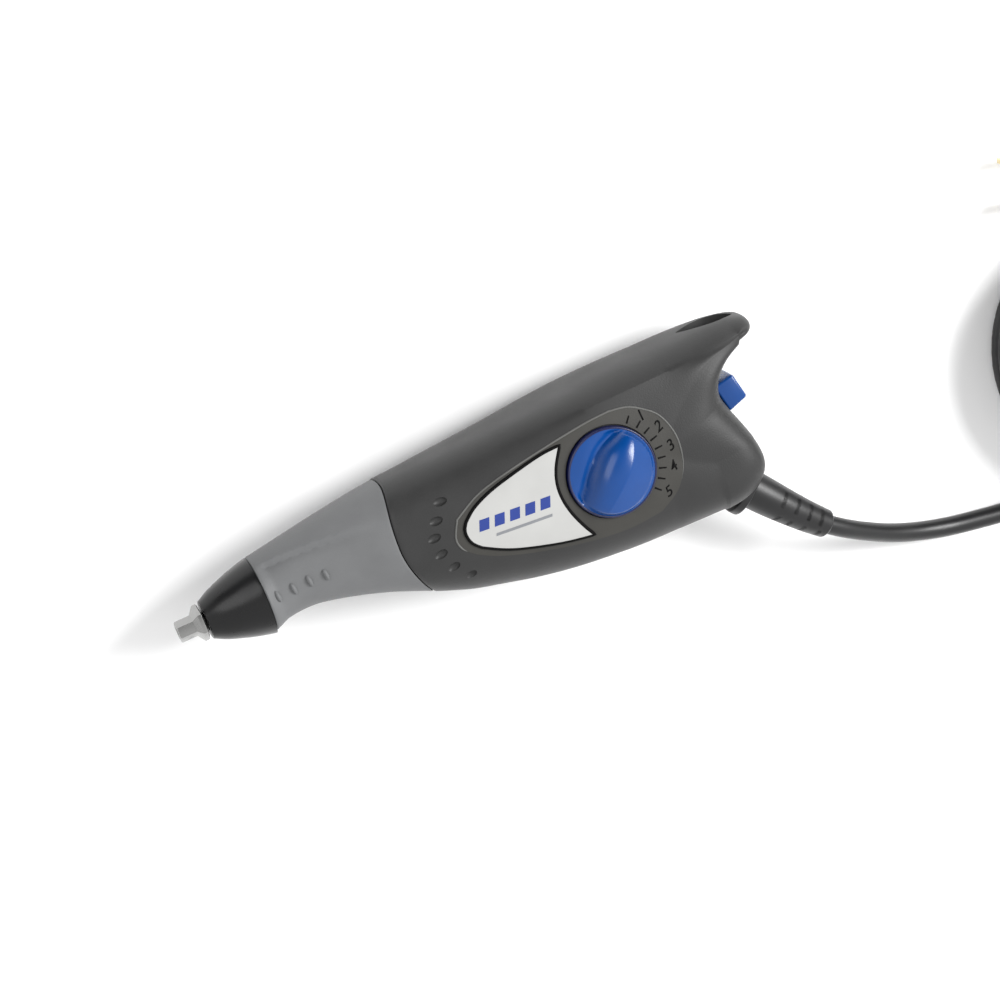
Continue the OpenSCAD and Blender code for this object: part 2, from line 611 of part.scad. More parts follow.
module strain_relief() placed() color("#1d1d1f") {
    relief_frame() {
        translate([-1.5, 0, 0]) rotate([0, 90, 0]) rotate([0, 0, 90]) lozenge(17.4, 7, 2.2);
        translate([-4.2, 0, 0]) rotate([0, 90, 0]) cylinder(h = 3, r = 5);
        translate([-6, 0, 0]) rotate([0, 90, 0]) cylinder(h = 1.8, r = 6.4);
    }
    tube(relief_route, relief_radii, 16);
}
function coil_point(a, r, h) = [coil_at[0] + r * cos(a), coil_at[1] + r * sin(a), bench_z + h];
module cord_run() placed() color("#1d1d1f") tube(run_route, cord_r, 12);
module cord_coil() placed() color("#1d1d1f")
    translate([coil_at[0], coil_at[1], bench_z]) rotate_extrude($fn = 72)
    translate([(coil_d - coil_columns * cord_d) / 2, 0]) square([coil_columns * cord_d,
        coil_layers * cord_d]);
module cord_tail() placed() color("#1d1d1f")
    tube([for (p = tail_route) coil_point(p[0], p[1], p[2])], cord_r, 12);
module cord_tie() placed() color("#151516")
    translate([coil_at[0], coil_at[1], bench_z]) rotate([0, 0, 100]) {
    depth = coil_columns * cord_d;
    height = coil_layers * cord_d;
    translate([coil_d / 2, 0, 0]) difference() {
        block([-depth / 2 - 0.8, depth / 2 + 0.9], [-3.5, 3.5], [0, height + 0.9]);
        block([-depth / 2, depth / 2 + 0.1], [-4, 4], [0.6, height + 0.1]);
    }
}
module plug_frame() translate([plug_at[0], plug_at[1], bench_z + plug_h / 2])
    rotate([0, 0, plug_angle]) children();
module plug_body() placed() color("#1d1d1f") plug_frame() {
    hull() for (y = [-1, 1], z = [-1, 1]) {
        translate([0, y * 9.5, z * 5]) sphere(r = 2.5, $fn = 20);
        translate([15.5, y * 9.5, z * 5]) rotate([0, 90, 0]) cylinder(h = 0.5, r = 2.5, $fn = 20);
    }
    hull() {
        translate([-2, 0, 0]) rotate([0, 90, 0]) cylinder(h = 6, r = 7.2, $fn = 24);
        translate([-20, 0, 0]) rotate([0, 90, 0]) cylinder(h = 1, r = 4.2, $fn = 24);
    }
}
module plug_blades() placed() color("#c9ab63") plug_frame() for (side = [-1, 1]) difference() {
    block([16, 33.5], [side * 6.35 - 0.75, side * 6.35 + 0.75], [-3.17, 3.17]);
    translate([30, side * 6.35, 0]) rotate([90, 0, 0]) cylinder(h = 4, r = 1.6, center = true);
}

left_housing();
right_housing();
grip_sleeve();
nose_cone();
front_bush();
rear_bush();
hammer_rod();
chuck();
chuck_screw();
rod_collar();
return_spring();
laminated_core();
core_screws();
coil_bobbin();
coil_winding();
armature_plate();
armature_striker();
armature_rivets();
leaf_spring();
pivot_bracket();
pivot_pin();
dial_knob();
dial_cam();
dial_screw();
stop_slider();
stop_bumper();
name_plate();
rating_plate();
switch_button();
switch_case();
switch_terminals();
cord_clamp();
cord_clamp_screws();
inner_cord();
coil_leads();
housing_screws();
strain_relief();
cord_run();
cord_coil();
cord_tail();
cord_tie();
plug_body();
plug_blades();
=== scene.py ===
"""Looks of a vibrating electric engraver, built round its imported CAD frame."""

import json
import logging
import math
from dataclasses import dataclass, field
from enum import Enum
from typing import Callable, Sequence

import bpy
from mathutils import Matrix, Vector
from mathutils.bvhtree import BVHTree


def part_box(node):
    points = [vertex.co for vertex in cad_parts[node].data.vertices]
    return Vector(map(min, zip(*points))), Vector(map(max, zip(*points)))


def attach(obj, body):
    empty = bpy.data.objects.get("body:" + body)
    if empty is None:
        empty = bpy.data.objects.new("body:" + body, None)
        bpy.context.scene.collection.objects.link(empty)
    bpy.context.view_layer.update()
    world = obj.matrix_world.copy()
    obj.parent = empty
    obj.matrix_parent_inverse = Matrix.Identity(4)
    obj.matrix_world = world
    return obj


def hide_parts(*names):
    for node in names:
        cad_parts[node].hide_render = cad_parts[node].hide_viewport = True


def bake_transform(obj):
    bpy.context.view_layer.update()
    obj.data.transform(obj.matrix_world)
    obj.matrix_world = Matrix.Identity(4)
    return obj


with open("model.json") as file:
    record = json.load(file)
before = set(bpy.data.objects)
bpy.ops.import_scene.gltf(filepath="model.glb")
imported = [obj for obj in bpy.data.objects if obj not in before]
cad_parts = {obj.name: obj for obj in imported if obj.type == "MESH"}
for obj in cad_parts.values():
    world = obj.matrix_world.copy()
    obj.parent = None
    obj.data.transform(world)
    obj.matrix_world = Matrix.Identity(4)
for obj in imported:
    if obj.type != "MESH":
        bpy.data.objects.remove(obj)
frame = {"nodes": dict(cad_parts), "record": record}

LOG = logging.getLogger("engraver")
MM = 0.001
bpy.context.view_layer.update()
WELD = 2e-6

Point = tuple[float, ...]
Table = Sequence[Sequence[float]]


# ---- Frame, modelling helpers ----


class Side(Enum):
    """Which half of the body a piece belongs to."""

    LEFT = 1
    RIGHT = -1


class Texture(Enum):
    """Kinds of procedural surface detail."""

    SPECKLE = "speckle"
    BRUSHED = "brushed"
    BANDED = "banded"
    PRINTED = "printed"


@dataclass(frozen=True)
class ToolFrame:
    """The tool's own frame: the chuck's mouth at the origin, +X to the tail, +Y up, +Z out of the left side."""

    origin: Vector

    @staticmethod
    def from_cad() -> "ToolFrame":
        """Reads the frame from the chuck's box.

        Returns:
            The tool's frame.
        """
        low, high = (Vector(corner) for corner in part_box("chuck"))
        return ToolFrame(Vector((low.x, (low.y + high.y) / 2, (low.z + high.z) / 2)))

    def row(self, point: Sequence[float]) -> Vector:
        """Turns a place in the tool's frame into one in the row frame.

        Args:
            point: Place in millimetres.

        Returns:
            The place in metres.
        """
        return self.origin + Vector(point) * MM

    def tool(self, point: Sequence[float]) -> Vector:
        """Turns a place in the row frame into one in the tool's frame.

        Args:
            point: Place in metres.

        Returns:
            The place in millimetres.
        """
        return (Vector(point) - self.origin) / MM


TOOL = ToolFrame.from_cad()


def deselect() -> None:
    """Leaves edit mode and selects nothing."""
    if bpy.context.object is not None and bpy.context.object.mode != "OBJECT":
        bpy.ops.object.mode_set(mode="OBJECT")
    bpy.ops.object.select_all(action="DESELECT")


def pick(obj: bpy.types.Object) -> bpy.types.Object:
    """Makes one object the only selected and the active one.

    Args:
        obj: The object.

    Returns:
        The same object.
    """
    deselect()
    obj.select_set(True)
    bpy.context.view_layer.objects.active = obj
    return obj


def named(name: str) -> bpy.types.Object:
    """Names the active object and its data.

    Args:
        name: The new name.

    Returns:
        The active object.
    """
    obj = bpy.context.object
    obj.name = name
    obj.data.name = name
    return obj


def baked(obj: bpy.types.Object) -> bpy.types.Object:
    """Puts an object's place, turn and scale into its vertices.

    Args:
        obj: The object.

    Returns:
        The same object.
    """
    pick(obj)
    bpy.ops.object.transform_apply(location=True, rotation=True, scale=True)
    return obj


def editing(obj: bpy.types.Object) -> None:
    """Enters edit mode on an object with everything in it selected.

    Args:
        obj: The object.
    """
    pick(obj)
    bpy.ops.object.mode_set(mode="EDIT")
    bpy.ops.mesh.select_all(action="SELECT")


def welded(obj: bpy.types.Object, close: bool = True) -> bpy.types.Object:
    """Merges doubles, fills what is open and turns the normals out.

    Args:
        obj: The object.
        close: Whether open loops are filled.

    Returns:
        The same object.
    """
    editing(obj)
    bpy.ops.mesh.remove_doubles(threshold=WELD)
    bpy.ops.mesh.dissolve_degenerate(threshold=WELD)
    if close:
        bpy.ops.mesh.fill_holes(sides=0)
        bpy.ops.mesh.select_all(action="SELECT")
    bpy.ops.mesh.normals_make_consistent(inside=False)
    deselect()
    return obj


def smooth(obj: bpy.types.Object, angle: float = 35.0) -> bpy.types.Object:
    """Shades an object smooth below an edge angle in degrees.

    Args:
        obj: The object.
        angle: Degrees above which an edge stays sharp.

    Returns:
        The same object.
    """
    pick(obj)
    bpy.ops.object.shade_smooth_by_angle(angle=math.radians(angle))
    return obj


def apply_modifiers(obj: bpy.types.Object) -> bpy.types.Object:
    """Applies every modifier on an object, in order.

    Args:
        obj: The object.

    Returns:
        The same object.
    """
    pick(obj)
    for modifier in list(obj.modifiers):
        bpy.ops.object.modifier_apply(modifier=modifier.name)
    return obj


def joined(objects: Sequence[bpy.types.Object]) -> bpy.types.Object:
    """Joins objects into the first one.

    Args:
        objects: The objects.

    Returns:
        The first object.
    """
    pick(objects[0])
    for obj in objects[1:]:
        obj.select_set(True)
    if len(objects) > 1:
        bpy.ops.object.join()
    return objects[0]


def cut(
    obj: bpy.types.Object, cutters: Sequence[bpy.types.Object], operation: str = "DIFFERENCE"
) -> bpy.types.Object:
    """Cuts an object with others, which are used up.

    Args:
        obj: The object to change.
        cutters: The cutting objects.
        operation: Boolean operation.

    Returns:
        The same object.
    """
    for cutter in cutters:
        baked(cutter)
        pick(obj)
        boolean = obj.modifiers.new("cut", "BOOLEAN")
        boolean.operation = operation
        boolean.solver = "MANIFOLD"
        boolean.object = cutter
        bpy.ops.object.modifier_apply(modifier=boolean.name)
        if len(obj.data.polygons) == 0:
            raise RuntimeError(f"{obj.name} was lost in a cut")
        bpy.data.objects.remove(cutter, do_unlink=True)
    return obj


def bevelled(obj: bpy.types.Object, width: float, segments: int = 3, angle: float = 30.0) -> bpy.types.Object:
    """Rounds the edges of an object.

    Args:
        obj: The object.
        width: Bevel width in millimetres.
        segments: Steps round the bevel.
        angle: Edges sharper than this, in degrees, are rounded.

    Returns:
        The same object.
    """
    bevel = obj.modifiers.new("bevel", "BEVEL")
    bevel.width = width * MM
    bevel.segments = segments
    bevel.limit_method = "ANGLE"
    bevel.angle_limit = math.radians(angle)
    return apply_modifiers(obj)


def box(x: Point, y: Point, z: Point, turn: Matrix | None = None) -> bpy.types.Object:
    """Adds a box between two corners in the tool's frame.

    Args:
        x: Lowest and highest x in millimetres.
        y: Lowest and highest y.
        z: Lowest and highest z.
        turn: A frame of its own inside the tool's, if it has one.

    Returns:
        The box.
    """
    deselect()
    bpy.ops.mesh.primitive_cube_add(size=1)
    obj = bpy.context.object
    size = Vector((x[1] - x[0], y[1] - y[0], z[1] - z[0]))
    middle = Vector(((x[0] + x[1]) / 2, (y[0] + y[1]) / 2, (z[0] + z[1]) / 2))
    inner = Matrix.Translation(middle) @ Matrix.Diagonal((*size, 1))
    place(obj, (turn or Matrix.Identity(4)) @ inner)
    return baked(obj)


def place(obj: bpy.types.Object, matrix: Matrix) -> None:
    """Sets an object's matrix from one in the tool's frame in millimetres."""
    obj.matrix_world = Matrix.Translation(TOOL.origin) @ Matrix.Scale(MM, 4) @ matrix
    bpy.context.view_layer.update()


def post(at: Sequence[float], z: Point, radius: float, sides: int = 64) -> bpy.types.Object:
    """Adds an upright cylinder in the tool's frame.

    Args:
        at: Its x and y in millimetres.
        z: Its lowest and highest z.
        radius: Its radius.
        sides: Number of sides.

    Returns:
        The cylinder.
    """
    deselect()
    bpy.ops.mesh.primitive_cylinder_add(vertices=sides, radius=1, depth=1)
    obj = bpy.context.object
    size = Matrix.Diagonal((radius, radius, z[1] - z[0], 1))
    place(obj, Matrix.Translation((at[0], at[1], (z[0] + z[1]) / 2)) @ size)
    return baked(obj)


def rod(x: Point, radius: float, at: Point = (0.0, 0.0), sides: int = 64) -> bpy.types.Object:
    """Adds a cylinder along the hammer's axis.

    Args:
        x: Its ends in millimetres.
        radius: Its radius.
        at: The y and z of its axis.
        sides: Number of sides.

    Returns:
        The cylinder.
    """
    deselect()
    bpy.ops.mesh.primitive_cylinder_add(vertices=sides, radius=1, depth=1)
    obj = bpy.context.object
    turn = Matrix.Rotation(math.pi / 2, 4, "Y")
    size = Matrix.Diagonal((radius, radius, x[1] - x[0], 1))
    place(obj, Matrix.Translation(((x[0] + x[1]) / 2, *at)) @ turn @ size)
    return baked(obj)


def ellipsoid(at: Sequence[float], radii: Sequence[float], turn: float = 0.0) -> bpy.types.Object:
    """Adds an ellipsoid in the tool's frame.

    Args:
        at: Its middle in millimetres.
        radii: Its three radii.
        turn: Its turn about Z in degrees.

    Returns:
        The ellipsoid.
    """
    deselect()
    bpy.ops.mesh.primitive_uv_sphere_add(segments=32, ring_count=16, radius=1)
    obj = bpy.context.object
    place(obj, Matrix.Translation(at) @ Matrix.Rotation(math.radians(turn), 4, "Z") @ Matrix.Diagonal((*radii, 1)))
    return baked(obj)


def lathe(profile: Table, middle: Matrix, sides: int = 96) -> bpy.types.Object:
    """Turns a closed profile about an axis by extruding a circle ring by ring.

    Args:
        profile: Rows of [radius, height] in millimetres; the last ring is joined to the first, or both are capped
            when they are different.
        middle: Matrix of the axis in the tool's frame; the profile's height runs along its Z.
        sides: Number of sides.

    Returns:
        The closed piece.
    """
    deselect()
    world = Matrix.Translation(TOOL.origin) @ Matrix.Scale(MM, 4) @ middle
    turn = world.to_quaternion().to_euler()
    axis = (world.to_3x3() @ Vector((0, 0, 1))).normalized()
    start = world @ Vector((0, 0, profile[0][1]))
    closed = list(profile[0]) == list(profile[-1])
    bpy.ops.mesh.primitive_circle_add(
        vertices=sides, radius=profile[0][0] * MM, fill_type="NOTHING", location=start, rotation=turn
    )
    obj = bpy.context.object
    baked(obj)
    editing(obj)
    if not closed:
        bpy.ops.mesh.edge_face_add()
        bpy.ops.mesh.select_all(action="SELECT")
    radius, height = profile[0]
    for next_radius, next_height in profile[1:]:
        bpy.ops.mesh.extrude_edges_move()
        bpy.ops.transform.translate(value=axis * (next_height - height) * MM)
        middle_now = world @ Vector((0, 0, next_height))
        bpy.ops.transform.resize(value=(next_radius / radius,) * 3, center_override=middle_now)
        radius, height = next_radius, next_height
    if not closed:
        bpy.ops.mesh.edge_face_add()
    deselect()
    return welded(obj, close=False)


def mapped_grid(columns: int, rows: int, at: Callable[[int, int], Sequence[float]]) -> bpy.types.Object:
    """Adds a grid and puts each of its vertices where a function says.

    Args:
        columns: Number of vertices one way.
        rows: Number of vertices the other way.
        at: Gives the place in the tool's frame for a column and a row.

    Returns:
        The sheet, with nothing welded yet.
    """
    deselect()
    bpy.ops.mesh.primitive_grid_add(x_subdivisions=columns - 1, y_subdivisions=rows - 1, size=1)
    obj = bpy.context.object
    coordinates: list[float] = []
    for vertex in obj.data.vertices:
        column = round((vertex.co.x + 0.5) * (columns - 1))
        line = round((vertex.co.y + 0.5) * (rows - 1))
        coordinates.extend(TOOL.row(at(column, line)))
    obj.data.vertices.foreach_set("co", coordinates)
    obj.data.update()
    return obj


# ---- The body's form ----


@dataclass(frozen=True)
class Column:
    """One column of the body's surface, from its outline to its spine."""

    edge: Point
    spine: Point
    power: float
    crease: float = 0.0
    fold: float = 0.8
    bow: float = 1.0


@dataclass(frozen=True)
class BodyForm:
    """Tables in millimetres that give the fish-shaped body's surface."""

    top: Table = (
        (25, 11.3), (30, 12), (40, 13.4), (50, 14.7), (60, 15.8), (68, 16.4), (80, 17), (100, 17.9), (120, 19.1),
        (130, 19.7), (140, 20), (150, 20), (160, 20.2), (170, 20.0), (176, 19.4),
    )
    bottom: Table = (
        (25, -10.8), (27.5, -9.7), (30, -8.7), (35, -8.2), (40, -8.5), (50, -10.9), (60, -14.2), (71, -18.8),
        (80, -22.4), (90, -25), (100, -27.4), (110, -29.1), (120, -30.2), (130, -31), (140, -31.3), (152, -31.4),
    )
    half_width: Table = (
        (25, 11.2), (35, 11.6), (50, 13.9), (67, 16.7), (80, 18.4), (100, 19.9), (120, 20.5), (140, 19.8),
        (150, 18.9), (160, 17.6), (170, 15), (176, 12),
    )
    top_power: Table = ((25, 2), (67, 2.5), (100, 3.2), (130, 4), (180, 4))
    bottom_power: Table = ((25, 2), (67, 2.3), (100, 2.4), (150, 2.6))
    top_lean: Table = ((26, 0), (64, 3.4), (110, 0))
    bottom_lean: Table = ((26, 0), (64, 6.8), (110, 0))
    spine_rise: Table = (
        (25, 0.2), (35, 2.2), (50, 1.9), (60, 0.8), (68, -0.8), (80, -2.7), (100, -4.7), (120, -5.5), (141, -4.2),
    )
    fin_spine: Table = ((147, 1.5), (152.5, 6.5), (158, 10.5), (164, 13.2), (170, 14.5), (175.3, 15.3))
    back_spine: Table = ((146, -8), (151, -11.5), (156, -14))
    fin_tip: Table = ((178.8, 18.6), (180.8, 17.7), (181.7, 16.2), (181.2, 14.7), (179.2, 13.5), (175.8, 12.5))
    fin_under: Table = ((171.2, 11.0), (168.4, 9.1), (166.6, 7.1), (165.6, 5.0), (165.1, 3.0))
    throat: Table = ((165.1, 1.2), (165.5, -0.8))
    back_wall: Table = ((166.7, -4.2), (168.3, -8.4), (169.8, -12.7))
    lower_corner: Table = (
        (170.8, -17.2), (171.1, -20.9), (170.0, -24.5), (166.7, -28.0), (161.9, -30.4), (156, -31.3),
    )
    fork_x: float = 141.0
    crease_y: float = 15.9
    crease_depth: float = 0.9
    top_bow: float = 2.5
    bottom_bow: float = 1.8

    def top_point(self, x: float) -> Point:
        """The top edge over a spine place."""
        ahead = x + lookup(self.top_lean, x)
        return ahead, curve(self.top, ahead)

    def bottom_point(self, x: float) -> Point:
        """The bottom edge under a spine place."""
        ahead = x + lookup(self.bottom_lean, x)
        return ahead, curve(self.bottom, ahead)

    def spine_point(self, x: float) -> Point:
        """The spine at x."""
        return x, curve(self.spine_rise, x)

    def top_column(self, edge: Point, spine: Point, power: float) -> Column:
        """A column over the spine, with the crease under the flat top band.

        Args:
            edge: Its place on the outline.
            spine: Its place on the spine.
            power: Squareness of its section.

        Returns:
            The column.
        """
        strength = ease((edge[0] - 100) / 45)
        bow = self.top_bow if spine[0] <= self.fork_x else 1.0
        return Column(edge, spine, power, strength, (self.crease_y - spine[1]) / (edge[1] - spine[1]), bow)

    def columns(self, places: Sequence[float]) -> list[Column]:
        """Every column clockwise from the front of the top edge to the front of the bottom edge.

        Args:
            places: Spine places ahead of the fork.

        Returns:
            The columns.
        """
        made = [self.top_column(self.top_point(x), self.spine_point(x), lookup(self.top_power, x)) for x in places]
        fork = self.spine_point(self.fork_x)
        fin = smooth_path([fork, *self.fin_spine], 4)
        end = fin[-1]
        made += [self.top_column((s[0], curve(self.top, s[0])), s, 3.6) for s in fin[1:]]
        last = made[-1]
        tip = smooth_path([last.edge, *self.fin_tip], 4)[1:]
        fading = [last.crease * ease(1.1 - 2.2 * i / len(tip)) for i in range(len(tip))]
        made += [Column(p, end, 2.3, crease, last.fold) for p, crease in zip(tip, fading)]
        under = smooth_path([self.fin_tip[-1], *self.fin_under, self.throat[0]], 4)
        made += [Column(e, s, 4.2) for e, s in zip(under[1:], list(reversed(fin))[1:])]
        made += [Column(p, fork, 4.2) for p in smooth_path(self.throat, 4)[1:]]
        wall = smooth_path([self.throat[-1], *self.back_wall], 4)
        back = smooth_path([fork, *self.back_spine], 4)
        made += [Column(e, s, 4.2) for e, s in zip(wall[1:], back[1:])]
        corner = smooth_path([self.back_wall[-1], *self.lower_corner], 4)[1:]
        made += [Column(p, back[-1], 4.2 - 1.2 * i / len(corner)) for i, p in enumerate(corner)]
        made += [Column((s[0], curve(self.bottom, s[0])), s, 2.6) for s in list(reversed(back))[1:-1]]
        for x in reversed(places):
            power = lookup(self.bottom_power, x)
            made.append(Column(self.bottom_point(x), self.spine_point(x), power, bow=self.bottom_bow))
        return made

    def section(self, column: Column, share: float, inset: float = 0.0) -> tuple[float, float, float]:
        """A point of the left half's surface.

        Args:
            column: Its column.
            share: 0 at the outline and 1 at the spine.
            inset: How far the surface is drawn in.

        Returns:
            The point in the tool's frame.
        """
        out, rise = squared(column.power, share)
        if column.crease > 0:
            band = share < 0.5
            part = share * 2 if band else share * 2 - 1
            if band:
                fold_out, fold_rise = 1 - (1 - column.fold) * part**3.2, self.crease_depth * part
            else:
                fold_out = column.fold * (1 - part)
                fold_rise = 1 - (1 - self.crease_depth) * (1 - part) ** 2.2
            out += (fold_out - out) * column.crease
            rise += (fold_rise - rise) * column.crease
        edge, spine = Vector(column.edge), Vector(column.spine)
        reach = edge - spine
        reach *= max(reach.length - inset, 0.2) / reach.length
        x, y = bowed(spine, reach, out, column.bow)
        return x, y, (curve(self.half_width, column.spine[0]) - inset) * rise


def bowed(spine: Vector, reach: Vector, out: float, bow: float) -> Point:
    """A point on the way from the spine to the outline, on a line that starts straight up and then leans.

    Args:
        spine: Where it starts.
        reach: From the spine to the outline.
        out: Share of the way.
        bow: 1 for a straight line and more for one that leans later.

    Returns:
        The point.
    """
    return spine.x + reach.x * max(out, 0.0) ** bow, spine.y + reach.y * out


def squared(power: float, share: float) -> Point:
    """A point of a squared circle's quarter, from (1, 0) to (0, 1), evenly spread.

    Args:
        power: 2 for a circle and more for a squarer one.
        share: How far round, from 0 to 1.

    Returns:
        The point.
    """
    out, rise = math.cos(share * math.pi / 2), math.sin(share * math.pi / 2)
    size = (max(out, 0.0) ** power + rise**power) ** (-1 / power)
    return max(out, 0.0) * size, rise * size


def ease(value: float) -> float:
    """A smooth step from 0 to 1."""
    value = min(max(value, 0.0), 1.0)
    return value * value * (3 - 2 * value)


def lookup(table: Table, x: float) -> float:
    """Straight-line value of a table of [x, value] rows.

    Args:
        table: The rows, in order of x.
        x: Where to read it.

    Returns:
        The value.
    """
    if x <= table[0][0]:
        return table[0][1]
    for (x0, y0), (x1, y1) in zip(table, table[1:]):
        if x <= x1:
            return y0 + (y1 - y0) * (x - x0) / (x1 - x0)
    return table[-1][1]


def curve(table: Table, x: float) -> float:
    """Smooth value of a table of [x, value] rows.

    Args:
        table: The rows.
        x: Where.

    Returns:
        The value.
    """
    index = max(i for i in range(len(table) - 1) if i == 0 or table[i][0] <= x)
    run = table[index + 1][0] - table[index][0]
    part = (x - table[index][0]) / run

    def slope(i: int) -> float:
        """Central slope of a row."""
        low, high = max(i - 1, 0), min(i + 1, len(table) - 1)
        return (table[high][1] - table[low][1]) / (table[high][0] - table[low][0])

    return (
        (1 + 2 * part) * (1 - part) ** 2 * table[index][1]
        + part * (1 - part) ** 2 * run * slope(index)
        + part * part * (3 - 2 * part) * table[index + 1][1]
        + part * part * (part - 1) * run * slope(index + 1)
    )


def smooth_path(points: Table, steps: int) -> list[Point]:
    """A smooth path through points.

    Args:
        points: The points, of any number of coordinates.
        steps: Steps between two points.

    Returns:
        The path's points.
    """
    made: list[Point] = []
    last = len(points) - 1
    for i in range(last):
        a, b, c, d = (points[min(max(i + k, 0), last)] for k in (-1, 0, 1, 2))
        for k in range(steps):
            u = k / steps
            made.append(
                tuple(
                    0.5 * (2 * q + (r - p) * u + (2 * p - 5 * q + 4 * r - s) * u * u + (3 * q - p - 3 * r + s) * u**3)
                    for p, q, r, s in zip(a, b, c, d)
                )
            )
    made.append(tuple(points[-1]))
    return made


FORM = BodyForm()


def evenly(start: float, stop: float, count: int) -> list[float]:
    """Evenly spread numbers, both ends included."""
    return [start + (stop - start) * i / (count - 1) for i in range(count)]


# ---- Finishes ----


@dataclass(frozen=True)
class Finish:
    """A procedural surface finish."""

    name: str
    colour: tuple[float, float, float]
    roughness: float
    metallic: float = 0.0
    mottle: float = 0.12
    mottle_size: float = 9.0
    grain: float = 0.25
    grain_size: float = 0.5
    texture: Texture = Texture.SPECKLE
    stretch: tuple[float, float, float] = (1.0, 1.0, 1.0)
    coat: float = 0.0
    specular: float = 0.5
    second: tuple[float, float, float] | None = None

    def build(self) -> bpy.types.Material:
        """Makes the material once and gives it back each time after.

        Returns:
            The material.
        """
        made = bpy.data.materials.get(self.name)
        if made is not None:
            return made
        made = bpy.data.materials.new(self.name)
        made.use_nodes = True
        tree = made.node_tree
        shader = tree.nodes["Principled BSDF"]
        shader.inputs["Metallic"].default_value = self.metallic
        shader.inputs["Coat Weight"].default_value = self.coat
        shader.inputs["Specular IOR Level"].default_value = self.specular
        place_node = tree.nodes.new("ShaderNodeTexCoord")
        mapping = tree.nodes.new("ShaderNodeMapping")
        mapping.inputs["Scale"].default_value = self.stretch
        tree.links.new(place_node.outputs["Object"], mapping.inputs["Vector"])
        mottle = self.noise(tree, mapping, self.mottle_size, 3.0)
        tone = self.two_tones(tree, mapping, mottle)
        tree.links.new(tone, shader.inputs["Base Color"])
        spread = tree.nodes.new("ShaderNodeMapRange")
        spread.inputs["To Min"].default_value = max(self.roughness - 0.07, 0.02)
        spread.inputs["To Max"].default_value = min(self.roughness + 0.09, 1.0)
        tree.links.new(mottle, spread.inputs["Value"])
        tree.links.new(spread.outputs["Result"], shader.inputs["Roughness"])
        bump = tree.nodes.new("ShaderNodeBump")
        bump.inputs["Strength"].default_value = self.grain
        bump.inputs["Distance"].default_value = 0.12 * MM
        tree.links.new(self.relief(tree, mapping), bump.inputs["Height"])
        tree.links.new(bump.outputs["Normal"], shader.inputs["Normal"])
        return made

    def noise(
        self, tree: bpy.types.NodeTree, mapping: bpy.types.Node, size: float, detail: float
    ) -> bpy.types.NodeSocket:
        """Adds a noise.

        Args:
            tree: The material's nodes.
            mapping: Where its coordinates come from.
            size: Size of its features in millimetres.
            detail: Its detail.

        Returns:
            The noise's value.
        """
        noise = tree.nodes.new("ShaderNodeTexNoise")
        noise.inputs["Scale"].default_value = 1 / (size * MM)
        noise.inputs["Detail"].default_value = detail
        tree.links.new(mapping.outputs["Vector"], noise.inputs["Vector"])
        return noise.outputs["Fac"]

    def two_tones(
        self, tree: bpy.types.NodeTree, mapping: bpy.types.Node, mottle: bpy.types.NodeSocket
    ) -> bpy.types.NodeSocket:
        """Adds the base colour: two tones mixed by the mottle, or by printed or stacked bands.

        Args:
            tree: The material's nodes.
            mapping: Where the coordinates come from.
            mottle: The slow noise.

        Returns:
            The colour.
        """
        ramp = tree.nodes.new("ShaderNodeValToRGB")
        dark, light = ramp.color_ramp.elements
        dark.position, light.position = 0.3, 0.7
        dark.color = (*[c * (1 - self.mottle) for c in self.colour], 1)
        light.color = (*[min(c * (1 + self.mottle), 1) for c in (self.second or self.colour)], 1)
        if self.texture in (Texture.BANDED, Texture.PRINTED):
            tree.links.new(self.bands(tree, mapping), ramp.inputs["Fac"])
            if self.texture is Texture.PRINTED:
                dark.position, light.position = 0.44, 0.5
        else:
            tree.links.new(mottle, ramp.inputs["Fac"])
        return ramp.outputs["Color"]

    def bands(self, tree: bpy.types.NodeTree, mapping: bpy.types.Node) -> bpy.types.NodeSocket:
        """Adds parallel bands across Z, or across Y where they are printed rows.

        Args:
            tree: The material's nodes.
            mapping: Where the coordinates come from.

        Returns:
            The bands' value.
        """
        wave = tree.nodes.new("ShaderNodeTexWave")
        wave.wave_type = "BANDS"
        wave.bands_direction = "Y" if self.texture is Texture.PRINTED else "Z"
        wave.inputs["Scale"].default_value = 0.32 / (self.grain_size * MM)
        wave.inputs["Distortion"].default_value = 0.0
        tree.links.new(mapping.outputs["Vector"], wave.inputs["Vector"])
        return wave.outputs["Fac"]

    def relief(self, tree: bpy.types.NodeTree, mapping: bpy.types.Node) -> bpy.types.NodeSocket:
        """Adds the height that the bump follows.

        Args:
            tree: The material's nodes.
            mapping: Where the coordinates come from.

        Returns:
            The height's value.
        """
        if self.texture is Texture.BANDED:
            return self.bands(tree, mapping)
        return self.noise(tree, mapping, self.grain_size, 2.0)


def grey(level: int) -> tuple[float, float, float]:
    """A linear grey from a display level out of 255."""
    return (linear(level),) * 3


def linear(level: float) -> float:
    """One linear channel from a display level out of 255."""
    share = level / 255
    return share / 12.92 if share <= 0.04045 else ((share + 0.055) / 1.055) ** 2.4


def tint(red: float, green: float, blue: float) -> tuple[float, float, float]:
    """A linear colour from display levels out of 255."""
    return linear(red), linear(green), linear(blue)


